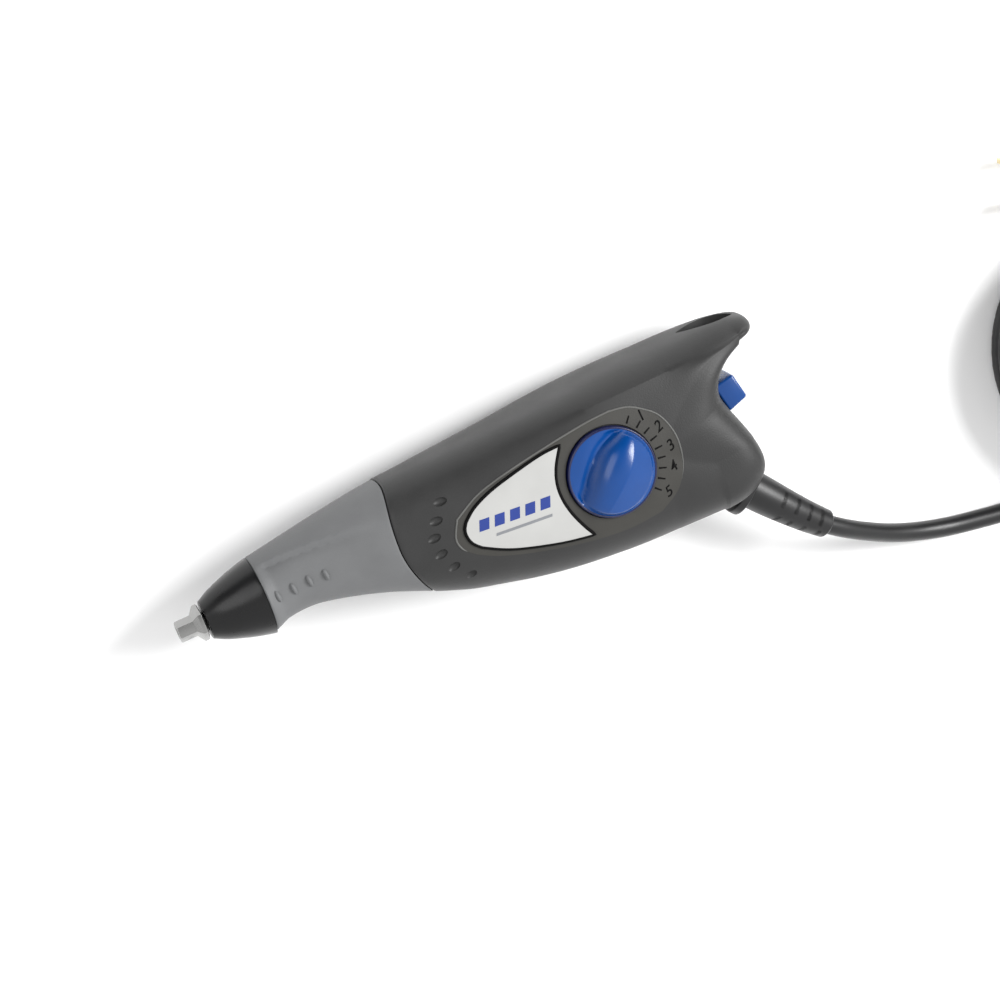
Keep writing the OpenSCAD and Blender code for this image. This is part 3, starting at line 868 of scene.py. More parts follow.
HOUSING = Finish("housing", tint(48, 48, 48), 0.46, grain=0.35, grain_size=0.45, mottle=0.06, specular=0.28)
PANEL = Finish("panel", tint(57, 56, 53), 0.5, grain=0.3, grain_size=0.35, mottle=0.07, specular=0.28)
# Partly painted highlight: the panel's raised border bead is real, and its light grey stands in for the highlight
# along it.
BORDER_HIGHLIGHT = Finish("border", tint(92, 92, 90), 0.42, grain=0.1, mottle=0.1, specular=0.3)
GRIP = Finish("grip", tint(104, 105, 106), 0.58, grain=0.45, grain_size=0.3, mottle=0.05, specular=0.35)
CONE = Finish("cone", tint(14, 14, 15), 0.27, grain=0.12, grain_size=0.8, mottle=0.15, specular=0.35)
BLUE = Finish("blue", tint(0, 60, 126), 0.22, grain=0.08, grain_size=0.6, mottle=0.05, specular=0.45)
# Painted shade: this dark blue on the dial's edge ring stands in for the shade and dark reflection at the knob's edge.
NAVY_EDGE_SHADE = Finish("navy_edge_shade", tint(8, 16, 62), 0.35, grain=0.1, mottle=0.08)
PLATE = Finish("plate", tint(176, 176, 174), 0.38, metallic=0.1, grain=0.08, grain_size=0.25, mottle=0.025)
EMBLEM_BLUE = Finish("emblem_blue", tint(28, 52, 128), 0.35, grain=0.1, mottle=0.06)
EMBLEM_GREY = Finish("emblem_grey", tint(120, 122, 126), 0.4, grain=0.1, mottle=0.06)
INK = Finish("ink", tint(5, 5, 5), 0.6, grain=0.3, grain_size=0.3, mottle=0.2, specular=0.1)
CHUCK = Finish(
    "chuck", tint(150, 150, 149), 0.22, metallic=1.0, grain=0.2, grain_size=0.25, stretch=(0.25, 1, 1),
    mottle=0.08, texture=Texture.BRUSHED,
)
STEEL = Finish(
    "steel", tint(176, 178, 180), 0.3, metallic=1.0, grain=0.15, grain_size=0.3, stretch=(0.2, 1, 1),
    mottle=0.1, texture=Texture.BRUSHED,
)
SPRING = Finish("spring", tint(150, 152, 156), 0.28, metallic=1.0, grain=0.15, grain_size=0.2, mottle=0.12)
BRONZE = Finish("bronze", tint(176, 140, 74), 0.45, metallic=1.0, grain=0.3, grain_size=0.25, mottle=0.15)
LAMINATED = Finish(
    "laminated", tint(88, 92, 96), 0.45, metallic=0.9, grain=0.8, grain_size=0.5,
    texture=Texture.BANDED, second=tint(128, 132, 136),
)
NYLON = Finish("nylon", tint(214, 210, 196), 0.5, grain=0.15, mottle=0.05)
COPPER = Finish(
    "copper", tint(150, 78, 36), 0.3, metallic=0.9, grain=0.9, grain_size=0.45, texture=Texture.BANDED,
    second=tint(206, 122, 66), stretch=(1, 1, 1),
)
ACETAL = Finish("acetal", tint(224, 222, 214), 0.45, grain=0.15, mottle=0.04)
RUBBER = Finish("rubber", tint(30, 30, 31), 0.7, grain=0.4, grain_size=0.3, mottle=0.15)
CORD = Finish("cord", tint(20, 20, 21), 0.38, grain=0.22, grain_size=0.5, mottle=0.12)
BLACK = Finish("black_plastic", tint(40, 41, 43), 0.45, grain=0.3, grain_size=0.4, mottle=0.1)
BRASS = Finish(
    "brass", tint(206, 174, 104), 0.25, metallic=1.0, grain=0.15, grain_size=0.3, stretch=(0.2, 1, 1),
    mottle=0.1, texture=Texture.BRUSHED,
)
FOIL = Finish(
    "foil", tint(60, 62, 66), 0.4, metallic=0.4, grain=0.1, texture=Texture.PRINTED, grain_size=1.1,
    second=tint(186, 188, 192),
)
FLOOR = Finish(
    "floor", tint(250, 250, 250), 0.9, grain=0.05, grain_size=4, mottle=0.006, mottle_size=60, specular=0.1,
)

SLOT_FINISH = {
    "housing_plastic": HOUSING, "grip_rubber": GRIP, "cone_plastic": CONE, "blue_plastic": BLUE, "plate_print": PLATE,
    "label_foil": FOIL, "chuck_steel": CHUCK, "steel": STEEL, "spring_steel": SPRING, "bronze": BRONZE,
    "laminated_steel": LAMINATED, "bobbin_nylon": NYLON, "copper": COPPER, "white_acetal": ACETAL,
    "black_rubber": RUBBER, "cord_pvc": CORD, "black_plastic": BLACK, "brass": BRASS,
}


@dataclass(frozen=True)
class Ride:
    """How a finished piece belongs to the CAD part."""

    body: str
    slot: str
    stands_for: tuple[str, ...] = ()


def finished(obj: bpy.types.Object, name: str, finish: Finish, ride: Ride) -> bpy.types.Object:
    """Names a piece, gives it its finish and ties it to the CAD part.

    Args:
        obj: The piece.
        name: Its name.
        finish: Its finish.
        ride: What it rides on and stands for.

    Returns:
        The same piece.
    """
    obj.name = name
    obj.data.name = name
    obj.data.materials.clear()
    obj.data.materials.append(finish.build())
    if ride.body:
        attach(obj, ride.body)
    if ride.stands_for:
        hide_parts(*ride.stands_for)
    LOG.info("%s: %s faces", name, len(obj.data.polygons) if obj.type == "MESH" else "curve")
    return obj


# ---- Camera, light and floor ----


@dataclass
class Studio:
    """The camera, the soft light and the pale floor."""

    right: Point = (0.89809, -0.34747, 0.26962)
    up: Point = (0.40550, 0.89156, -0.20172)
    back: Point = (-0.17029, 0.29049, 0.94160)
    distance: float = 1.2
    frame_width: float = 0.2758
    mouth_at: Point = (0.1777, 0.3672)
    dark_way: Point = (0.2, 0.95, 0.24)

    def middle(self) -> Vector:
        """The place that the middle of the frame looks at.

        Returns:
            The place in the row frame.
        """
        aside = (0.5 - self.mouth_at[0]) * self.frame_width
        above = (0.5 - self.mouth_at[1]) * self.frame_width
        return TOOL.origin + Vector(self.right) * aside + Vector(self.up) * above

    def add_camera(self) -> None:
        """Adds the camera at the reference's viewing angle."""
        data = bpy.data.cameras.new("camera")
        data.sensor_width = 36
        data.lens = 36 * self.distance / self.frame_width
        data.clip_start, data.clip_end = 0.05, 20
        camera = bpy.data.objects.new("camera", data)
        bpy.context.scene.collection.objects.link(camera)
        turn = Matrix((self.right, self.up, self.back)).transposed().to_4x4()
        camera.matrix_world = Matrix.Translation(self.middle() + Vector(self.back) * self.distance) @ turn
        bpy.context.scene.camera = camera

    def add_light(self, name: str, direction: Point, size: float, power: float) -> None:
        """Adds a soft light that faces the tool.

        Args:
            name: Its name.
            direction: From the tool to the light, in the camera's right, up and back.
            size: Its side in metres.
            power: Its power in watts.
        """
        data = bpy.data.lights.new(name, "AREA")
        data.shape, data.size, data.energy = "SQUARE", size, power
        light = bpy.data.objects.new(name, data)
        bpy.context.scene.collection.objects.link(light)
        way = sum((Vector(axis) * part for axis, part in zip((self.right, self.up, self.back), direction)), Vector())
        turn = way.to_track_quat("Z", "Y").to_matrix().to_4x4()
        light.matrix_world = Matrix.Translation(self.middle() + way) @ turn

    def add_world(self) -> None:
        """Adds an even, nearly white surround."""
        world = bpy.data.worlds.new("surround")
        world.use_nodes = True
        tree = world.node_tree
        place_node = tree.nodes.new("ShaderNodeTexCoord")
        toward = tree.nodes.new("ShaderNodeVectorMath")
        toward.operation = "DOT_PRODUCT"
        toward.inputs[1].default_value = self.dark_way
        shade = tree.nodes.new("ShaderNodeMapRange")
        shade.interpolation_type = "SMOOTHSTEP"
        shade.inputs["From Min"].default_value, shade.inputs["From Max"].default_value = 0.0, 1.0
        shade.inputs["To Min"].default_value, shade.inputs["To Max"].default_value = 1.0, 0.05
        tree.links.new(place_node.outputs["Generated"], toward.inputs[0])
        tree.links.new(toward.outputs["Value"], shade.inputs["Value"])
        tree.links.new(shade.outputs["Result"], tree.nodes["Background"].inputs["Color"])
        world.node_tree.nodes["Background"].inputs["Strength"].default_value = 1.0
        bpy.context.scene.world = world

    def add_floor(self) -> None:
        """Adds the floor that the tool lies on."""
        deselect()
        bpy.ops.mesh.primitive_plane_add(size=8, location=(0, 0, -0.0003))
        floor = baked(named("floor"))
        floor.data.materials.append(FLOOR.build())

    def build(self) -> None:
        """Adds everything."""
        bpy.context.scene.view_settings.view_transform = "Standard"
        self.add_camera()
        self.add_world()
        self.add_light("key", (1.0, 0.3, 0.7), 0.5, 19)
        self.add_light("fill", (-0.5, 0.2, 1.0), 0.7, 4)
        self.add_floor()


# ---- Housing, grip and cone ----

SEAM_X = 64.0
SLEEVE_WALL = 2.4
WALL = 2.2
DIAL_AT = (126.1, -2.9)
DIAL_SEAT_R = 13.3
SCREWS = ((74, 10), (77, -14), (112, 13.6), (149, 11.5), (138, -25.4))
CORE_SCREWS = ((123.7, 4.5), (123.7, -12.5))
ALONG_X = Matrix.Rotation(math.pi / 2, 4, "Y")
SLIDE_FRAME = Matrix.Translation((166, -1.7, 0)) @ Matrix.Rotation(math.radians(-76.1), 4, "Z")
RELIEF_FRAME = Matrix.Translation((165.2, -29.5, 0)) @ Matrix.Rotation(math.radians(-50), 4, "Z")


def inset_at(x: float) -> float:
    """How far the housing's outside is drawn in at a spine place: under the grip, and at the seam's rounded edge.

    Args:
        x: The spine place.

    Returns:
        The depth in millimetres.
    """
    if x < SEAM_X - 0.22:
        return SLEEVE_WALL + 0.05
    return lookup(((63.8, 0.35), (63.95, 0.0), (64.2, -0.16), (66, -0.16), (71, 0.0)), x)


def half_solid(
    side: Side, places: Sequence[float], inset: Callable[[float], float], foot: float, rows: int
) -> bpy.types.Object:
    """Builds a closed solid of half the body.

    Args:
        side: Which half.
        places: Spine places ahead of the fork.
        inset: How far the surface is drawn in at a spine place.
        foot: Height of its flat side over the mid-plane.
        rows: Steps from the outline to the spine.

    Returns:
        The solid.
    """
    columns = FORM.columns(places)

    def at(j: int, i: int) -> Point:
        """Place of a vertex.

        Args:
            j: Its column.
            i: Its row.

        Returns:
            The place in the tool's frame.
        """
        column = columns[j]
        if i == 0:
            return column.spine[0], column.spine[1], foot * side.value
        x, y, z = FORM.section(column, (i - 1) / rows, inset(column.spine[0]))
        return x, y, (foot if i == 1 else z) * side.value

    return welded(mapped_grid(len(columns), rows + 2, at))


@dataclass
class Skin:
    """The bare surface of the left half, for laying things on it."""

    tree: BVHTree

    @staticmethod
    def of(obj: bpy.types.Object) -> "Skin":
        """Reads the surface of an object that is in place."""
        return Skin(BVHTree.FromPolygons([v.co for v in obj.data.vertices], [p.vertices for p in obj.data.polygons]))

    def height(self, x: float, y: float) -> float:
        """Height of the surface in the tool's frame over a place.

        Args:
            x: Place along the tool in millimetres.
            y: Place across it.

        Returns:
            The height in millimetres.
        """
        hit = self.tree.ray_cast(TOOL.row((x, y, 60.0)), Vector((0, 0, -1)))[0]
        return TOOL.tool(hit).z if hit is not None else 0.0


@dataclass
class Housing:
    """The two moulded halves."""

    dimples: Table = (
        (78.7, 8.6, -6), (75.5, 4.1, 0), (73.3, -0.3, 6), (73.5, -5.4, 14), (75.7, -10.5, 24), (79.6, -15.0, 36),
    )
    slot_at: float = 170.2
    slot_size: Point = (8.6, 4.1)
    skin: Skin = field(init=False)

    def outside(self, side: Side) -> bpy.types.Object:
        """The solid outside of one half.

        Args:
            side: Which half.

        Returns:
            The solid.
        """
        places = [*evenly(25.4, 63.7, 18), 63.8, 63.95, 64.2, *evenly(65.2, 141.0, 62)]
        body = half_solid(side, places, inset_at, 0.0, 28)
        if side is Side.LEFT:
            self.skin = Skin.of(body)
        keep = (0, 10) if side is Side.LEFT else (-10, 0)
        spigot = cut(rod((18.5, 28), 7.6), [box((0, 40), (-10, 10), keep)], "INTERSECT")
        return cut(body, [spigot], "UNION")

    def slot(self, margin: float, low: float, high: float) -> bpy.types.Object:
        """The hang slot's block, grown by a margin, between two heights.

        Args:
            margin: How much wider it is all round.
            low: Its lower end.
            high: Its upper end.

        Returns:
            The block.
        """
        middle, reach, width = self.slot_at, self.slot_size[0] + margin, self.slot_size[1] + margin
        deselect()
        bpy.ops.mesh.primitive_cylinder_add(vertices=96, radius=1, depth=1)
        block = bpy.context.object
        place(block, Matrix.Translation((0, (low + high) / 2, 0)) @ Matrix.Rotation(math.radians(90), 4, "X"))
        block = baked(block)
        for vertex in block.data.vertices:
            spot = TOOL.tool(vertex.co)
            share = max(min(spot.x, 1.0), -1.0)
            side = math.copysign(1.0, spot.z) * (1 - share**2) ** 0.85 * (1 + 0.25 * share)
            level = high if spot.y > (low + high) / 2 else low
            vertex.co = TOOL.row((middle + reach * share, level, width * side if abs(spot.z) > 1e-6 else 0.0))
        return welded(block)

    def cavity(self, side: Side) -> bpy.types.Object:
        """The hollow inside one half, less its ribs and bosses.

        Args:
            side: Which half.

        Returns:
            The cutter.
        """
        places = [*evenly(28.0, 63.4, 12), 64.4, *evenly(66.0, 141.0, 38)]
        hollow = half_solid(side, places, lambda x: 4.2 if x < SEAM_X else WALL, -0.5, 14)
        s = side.value
        ribs = [post(p, (-26, 26), 3.2, 32) for p in SCREWS]
        ribs += [rod((56.5, 61.5), 9.8), self.slot(2, 3, 24)]
        if side is Side.LEFT:
            ribs += [post(DIAL_AT, (17.4, 26), 14.7)]
            ribs += [box((101, 111), (y, y + 1.5), (13.4, 26)) for y in (-6.3, -1.0)]
        else:
            ribs += [post(p, (s * 26, s * 8), 3.4, 32) for p in CORE_SCREWS]
        return cut(hollow, ribs)

    def openings(self) -> list[bpy.types.Object]:
        """Openings that both halves share.

        Returns:
            The cutters.
        """
        made = [rod((0, 30), 4.2), rod((56.5, 61.5), 4.2), self.slot(0, 5, 30)]
        made += [box((-3.2, 8.2), (-6, 3), (-3.2, 3.2), SLIDE_FRAME), box((-6, 11), (0, 6), (-6.1, 6.1), SLIDE_FRAME)]
        made += [box((-1.6, 12), (-14, 14), (-14, 14), RELIEF_FRAME)]
        hole = box((-8, 0), (-5.1, 5.1), (-5.1, 5.1), RELIEF_FRAME)
        return [*made, bevelled(hole, 2.5, 6)]

    def dimple_cutters(self, side: Side) -> bpy.types.Object:
        """The row of shallow ovals behind the seam.

        Args:
            side: Which half.

        Returns:
            The cutters as one object.
        """
        made = []
        for x, y, turn in self.dimples:
            z = self.skin.height(x, y)
            made.append(ellipsoid((x, y, side.value * (z + 0.35)), (2.15, 1.3, 1.15), turn))
        return joined(made)

    def build(self) -> None:
        """Builds both halves."""
        for side, name in ((Side.LEFT, "left_housing"), (Side.RIGHT, "right_housing")):
            shell = cut(self.outside(side), [self.cavity(side), *self.openings(), self.dimple_cutters(side)])
            shell = self.left_cuts(shell) if side is Side.LEFT else self.right_side(shell)
            finished(smooth(shell, 32), f"{name}_shell", HOUSING, Ride("housing", "housing_plastic", (name,)))

    def left_cuts(self, shell: bpy.types.Object) -> bpy.types.Object:
        """Cuts the left half's screw holes, dial seat and shaft hole."""
        seat = lathe(((DIAL_SEAT_R, 18.8), (DIAL_SEAT_R, 26)), Matrix.Translation((*DIAL_AT, 0)))
        return cut(shell, [*(post(p, (-1, 12), 1.5, 24) for p in SCREWS), seat, post(DIAL_AT, (10, 22), 3.06, 32)])

    def right_side(self, shell: bpy.types.Object) -> bpy.types.Object:
        """Adds the rest pad to the right half and cuts its screw pockets and label seat.

        Args:
            shell: The right half.

        Returns:
            The same half.
        """
        pad = bevelled(self.lozenge((121, -5), 62, 13, (-21.6, -18.3)), 0.5)
        cutters = [post(p, (-14, 1), 1.65, 24) for p in SCREWS] + [post(p, (-26, -11.4), 3.0, 32) for p in SCREWS]
        cutters += [post(p, (-15, -7), 1.5, 24) for p in CORE_SCREWS]
        shell = cut(shell, [pad], "UNION")
        return cut(shell, [*cutters, self.lozenge((106, -5), 22.4, 6.2, (-22.6, -21.1))])

    def lozenge(self, at: Point, length: float, radius: float, z: Point) -> bpy.types.Object:
        """An upright plate with round ends.

        Args:
            at: Its middle.
            length: Its length.
            radius: Radius of its ends.
            z: Its lower and upper face.

        Returns:
            The plate.
        """
        reach = length / 2 - radius
        block = box((at[0] - reach, at[0] + reach), (at[1] - radius, at[1] + radius), z)
        return cut(block, [post((at[0] + k * reach, at[1]), z, radius) for k in (-1, 1)], "UNION")


@dataclass
class GripSleeve:
    """The soft sleeve, with a flattened side and a row of raised pips."""

    around: int = 112
    pips: Table = ((28.4, 0.7), (33.2, 0.9), (38.0, 1.2), (42.8, 1.1))
    depth: float = 1.5

    def facet(self, x: float, angle: float) -> float:
        """How deep the flattened side lies under the plain form.

        Args:
            x: Place along the tool.
            angle: Degrees from the top.

        Returns:
            The depth in millimetres.
        """
        edge = lookup(((26, 30), (32, 36), (40, 44), (50, 52), (63, 58)), x)
        along = ease((x - 25.6) / 3.5) * (1 - ease((x - 47) / 17))
        return self.depth * along * ease((angle - edge) / 6) * (1 - ease((angle - 88) / 62))

    def at(self, x: float, j: int, inset: float) -> Point:
        """A point of the sleeve's section.

        Args:
            x: Place along the spine.
            j: Step round the section.
            inset: How far the surface is drawn in.

        Returns:
            The point in the tool's frame.
        """
        turn = 360 * (j % self.around) / self.around
        angle = min(turn, 360 - turn)
        over = angle <= 90
        edge = FORM.top_point(x) if over else FORM.bottom_point(x)
        power = lookup(FORM.top_power if over else FORM.bottom_power, x)
        out, rise = squared(power, (angle if over else 180 - angle) / 90)
        inset += self.facet(x, angle) if inset < 1 else 0
        spine = Vector(FORM.spine_point(x))
        reach = Vector(edge) - spine
        bow = FORM.top_bow if over else FORM.bottom_bow
        ahead, up = bowed(spine, reach * ((reach.length - inset) / reach.length), out, bow)
        width = (curve(FORM.half_width, x) - inset) * rise
        return ahead, up, width if turn <= 180 else -width

    def rings(self) -> list[Point]:
        """Rows of [x, inset] round the sleeve's wall, closed.

        Returns:
            The rows.
        """
        outer = [(25.3, 0.5), (25.42, 0.16), (25.75, 0.0)]
        outer += [(x, 0.0) for x in evenly(26.4, 62.8, 46)] + [(63.3, 0.02), (63.5, 0.1), (63.6, 0.35)]
        return [*outer, *[(x, SLEEVE_WALL - 0.02) for x in reversed(evenly(25.3, 63.6, 16))], outer[0]]

    def build(self) -> None:
        """Builds the sleeve."""
        rings = self.rings()
        sleeve = mapped_grid(self.around + 1, len(rings), lambda j, i: self.at(rings[i][0], j, rings[i][1]))
        sleeve = welded(sleeve, close=False)
        skin = Skin.of(sleeve)
        pips = []
        for x, y in self.pips:
            z = skin.height(x, y)
            pips += [ellipsoid((x, y, side * (z - 0.15)), (0.75, 1.85, 1.05), 8) for side in (-1, 1)]
        cut(sleeve, [joined(pips)], "UNION")
        finished(smooth(sleeve, 40), "grip_sleeve_rubber", GRIP, Ride("housing", "grip_rubber", ("grip_sleeve",)))


@dataclass
class NoseCone:
    """The glossy cone in front of the grip."""

    outline: Table = ((5.75, 8.8), (7.4, 12), (8.85, 16), (10.1, 20), (11.1, 24), (11.3, 25.15))

    def build(self) -> None:
        """Builds the cone."""
        inside = [(7.7, 25.15), (7.7, 18.2), (4.6, 18.2), (4.6, 11), (3.0, 11), (3.0, 8.7), (3.3, 8.4)]
        profile = [(3.3, 8.4), (5.3, 8.4), (5.6, 8.52), *smooth_path(self.outline, 4), *inside]
        cone = lathe(profile, ALONG_X)
        finished(smooth(cone, 35), "nose_cone_gloss", CONE, Ride("housing", "cone_plastic", ("nose_cone",)))


@dataclass
class Chuck:
    """The hexagonal chuck with its bore."""

    profile: Table = (
        (2.85, 0.0), (3.1, 0.28), (3.118, 4.75), (5.15, 6.2), (5.312, 6.42), (5.312, 7.45), (5.05, 7.7), (2.6, 7.72),
    )

    def build(self) -> None:
        """Builds the chuck."""
        body = lathe(self.profile, ALONG_X @ Matrix.Rotation(math.radians(51), 4, "Z"), 6)
        body = cut(body, [rod((7.2, 14), 2.5), rod((13.5, 17.6), 1.2, sides=32)], "UNION")
        across = Matrix.Translation((3, 0, 0)) @ Matrix.Rotation(math.radians(90), 4, "X")
        hole = lathe(((0.95, 0), (0.95, 5)), across, 24)
        flare = lathe(((1.95, -0.1), (1.6, 0.3), (1.6, 12)), ALONG_X, 48)
        cut(body, [flare, hole])
        body = smooth(bevelled(body, 0.09, 2, 28), 25)
        finished(body, "chuck_hexagon", CHUCK, Ride("hammer", "chuck_steel", ("chuck",)))


@dataclass
class ReturnSpring:
    """The coil spring between the front bush and the hammer's collar."""

    ends: Point = (26.7, 37.5)
    coil_radius: float = 3.15
    wire_radius: float = 0.35
    turns: int = 6

    def build(self) -> None:
        """Builds the spring."""
        steps = self.turns * 32
        line = []
        for step in range(steps + 1):
            angle = 2 * math.pi * self.turns * step / steps
            x = self.ends[0] + (self.ends[1] - self.ends[0]) * step / steps
            line.append(TOOL.row((x, self.coil_radius * math.cos(angle), self.coil_radius * math.sin(angle))))
        coil = tube_mesh(line, [self.wire_radius * MM] * len(line), 12)
        ride = Ride("", "spring_steel", ("return_spring",))
        coil = finished(smooth(coil, 50), "return_spring_coil", SPRING, ride)
        TOOL.row((self.ends[0], 0, 0))
        TOOL.row((self.ends[1], 0, 0))
        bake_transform(coil)


# ---- Dial, scale and name plate ----


@dataclass
class Dial:
    """The stroke dial: a dished disc with a curved finger ridge."""

    radius: float = 12.35
    rim_z: float = 21.45
    turn: float = 42.0
    crest: Table = ((-12.4, -3.6), (-10.6, -3.2), (-2.9, -2.8), (3.8, -2.5), (8, -1.4), (12.4, 0.2))
    valley: Table = ((-12.4, 3.8), (-11, 4.1), (-1.25, 6.3), (5, 6.4), (12.4, 3.6))
    rim: Table = (
        (12.3, 19.15), (12.75, 19.15), (12.9, 19.3), (12.9, 21.15), (12.78, 21.42), (12.55, 21.55), (12.3, 21.5),
        (12.3, 19.15),
    )

    def height(self, s: float, t: float) -> float:
        """Height of the dial's face.

        Args:
            s: Place along the pointer in millimetres.
            t: Place across it.

        Returns:
            The height in the tool's frame.
        """
        edge = max(self.radius - math.hypot(s, t), 0.0)
        fade = ease(edge / 1.3)
        swell = 4.4 * math.sqrt(max(1 - (s / (self.radius + 0.6)) ** 2, 0.0))
        top, low = curve(self.crest, s), curve(self.valley, s)
        if t >= top:
            part = min((t - top) / (low - top), 1.0)
            ridge = swell * (1 - part**2.7)
        else:
            ridge = swell * max(1 - (top - t) / 9.4, 0.0) ** 1.05
        scoop = 1.1 * math.exp(-(((t - low) / 1.9) ** 2))
        dome = 1.25 * (1 - (1 - edge / self.radius) ** 2)
        return self.rim_z + dome + (ridge - scoop) * fade

    def at(self, j: int, i: int, columns: int, rows: int) -> Point:
        """Place of a vertex of the face: one line of vertices runs along the crest.

        Args:
            j: Its column, across the pointer.
            i: Its row, along the pointer.
            columns: Number of columns.
            rows: Number of rows.

        Returns:
            The place in the tool's frame.
        """
        s = -self.radius * math.cos(math.pi * i / (rows - 1))
        reach = math.sqrt(max(self.radius**2 - s**2, 0.0))
        top = min(max(curve(self.crest, s), -reach), reach)
        half = (columns - 1) // 2
        t = -reach + (top + reach) * j / half if j <= half else top + (reach - top) * (j - half) / half
        turn = math.radians(self.turn)
        x = DIAL_AT[0] + s * math.cos(turn) - t * math.sin(turn)
        y = DIAL_AT[1] + s * math.sin(turn) + t * math.cos(turn)
        return x, y, self.height(s, t)

    def build(self) -> None:
        """Builds the face with its shaft, and the rim round it, whose dark blue is painted shade at the dial's edge.
        """
        columns, rows = 61, 73
        face = mapped_grid(columns, rows, lambda j, i: self.at(j, i, columns, rows))
        editing(face)
        bpy.ops.mesh.remove_doubles(threshold=WELD)
        bpy.ops.mesh.select_all(action="DESELECT")
        bpy.ops.mesh.select_non_manifold(
            extend=False, use_wire=False, use_multi_face=False, use_non_contiguous=False, use_verts=False
        )
        bpy.ops.mesh.extrude_edges_move()
        bpy.ops.transform.translate(value=(0, 0, -(self.rim_z - 19.2) * MM))
        deselect()
        face = welded(face)
        cut(face, [post(DIAL_AT, (12.2, 19.6), 3.0, 48)], "UNION")
        cut(face, [post(DIAL_AT, (10, 17), 1.25, 24)])
        ride = Ride("dial", "blue_plastic", ("dial_knob",))
        finished(smooth(face, 30), "dial_face", BLUE, ride)
        # The edge ring's dark blue is painted shade and reflection on the blue knob's edge.
        rim = lathe(self.rim, Matrix.Translation((*DIAL_AT, 0)))
        finished(smooth(rim, 35), "dial_rim_shade", NAVY_EDGE_SHADE, Ride("dial", "blue_plastic"))


@dataclass(frozen=True)
class Line:
    """A plan line that can be read by its share of length."""

    points: Table

    @staticmethod
    def through(*points: Point) -> "Line":
        """A smooth line through points."""
        return Line(smooth_path(points, 8))

    def at(self, share: float) -> Point:
        """The point at a share of the line's length.

        Args:
            share: The share, from 0 to 1.

        Returns:
            The point.
        """
        runs = [math.dist(a, b) for a, b in zip(self.points, self.points[1:])]
        left = share * sum(runs)
        for run, a, b in zip(runs, self.points, self.points[1:]):
            if left <= run:
                part = left / run
                return a[0] + (b[0] - a[0]) * part, a[1] + (b[1] - a[1]) * part
            left -= run
        return self.points[-1][0], self.points[-1][1]


@dataclass(frozen=True)
class Patch:
    """A plan region between four lines, the left and right ones running from the lower to the upper."""

    lower: Line
    upper: Line
    left: Line
    right: Line

    def at(self, u: float, v: float) -> Point:
        """The place for two shares.

        Args:
            u: Share of the way along.
            v: Share of the way across.

        Returns:
            The place in plan.
        """
        low, high, left, right = self.lower.at(u), self.upper.at(u), self.left.at(v), self.right.at(v)
        corners = self.left.at(0), self.left.at(1), self.right.at(0), self.right.at(1)
        place_now = []
        for k in (0, 1):
            edges = (1 - v) * low[k] + v * high[k] + (1 - u) * left[k] + u * right[k]
            left_part = (1 - v) * corners[0][k] + v * corners[1][k]
            right_part = (1 - v) * corners[2][k] + v * corners[3][k]
            place_now.append(edges - ((1 - u) * left_part + u * right_part))
        return tuple(place_now)

    def outline(self) -> list[Point]:
        """Its closed outline.

        Returns:
            The points in plan.
        """
        steps = evenly(0, 1, 40)
        return [
            *(self.lower.at(u) for u in steps), *(self.right.at(v) for v in steps[1:]),
            *(self.upper.at(u) for u in steps[-2::-1]), *(self.left.at(v) for v in steps[-2:0:-1]),
        ]


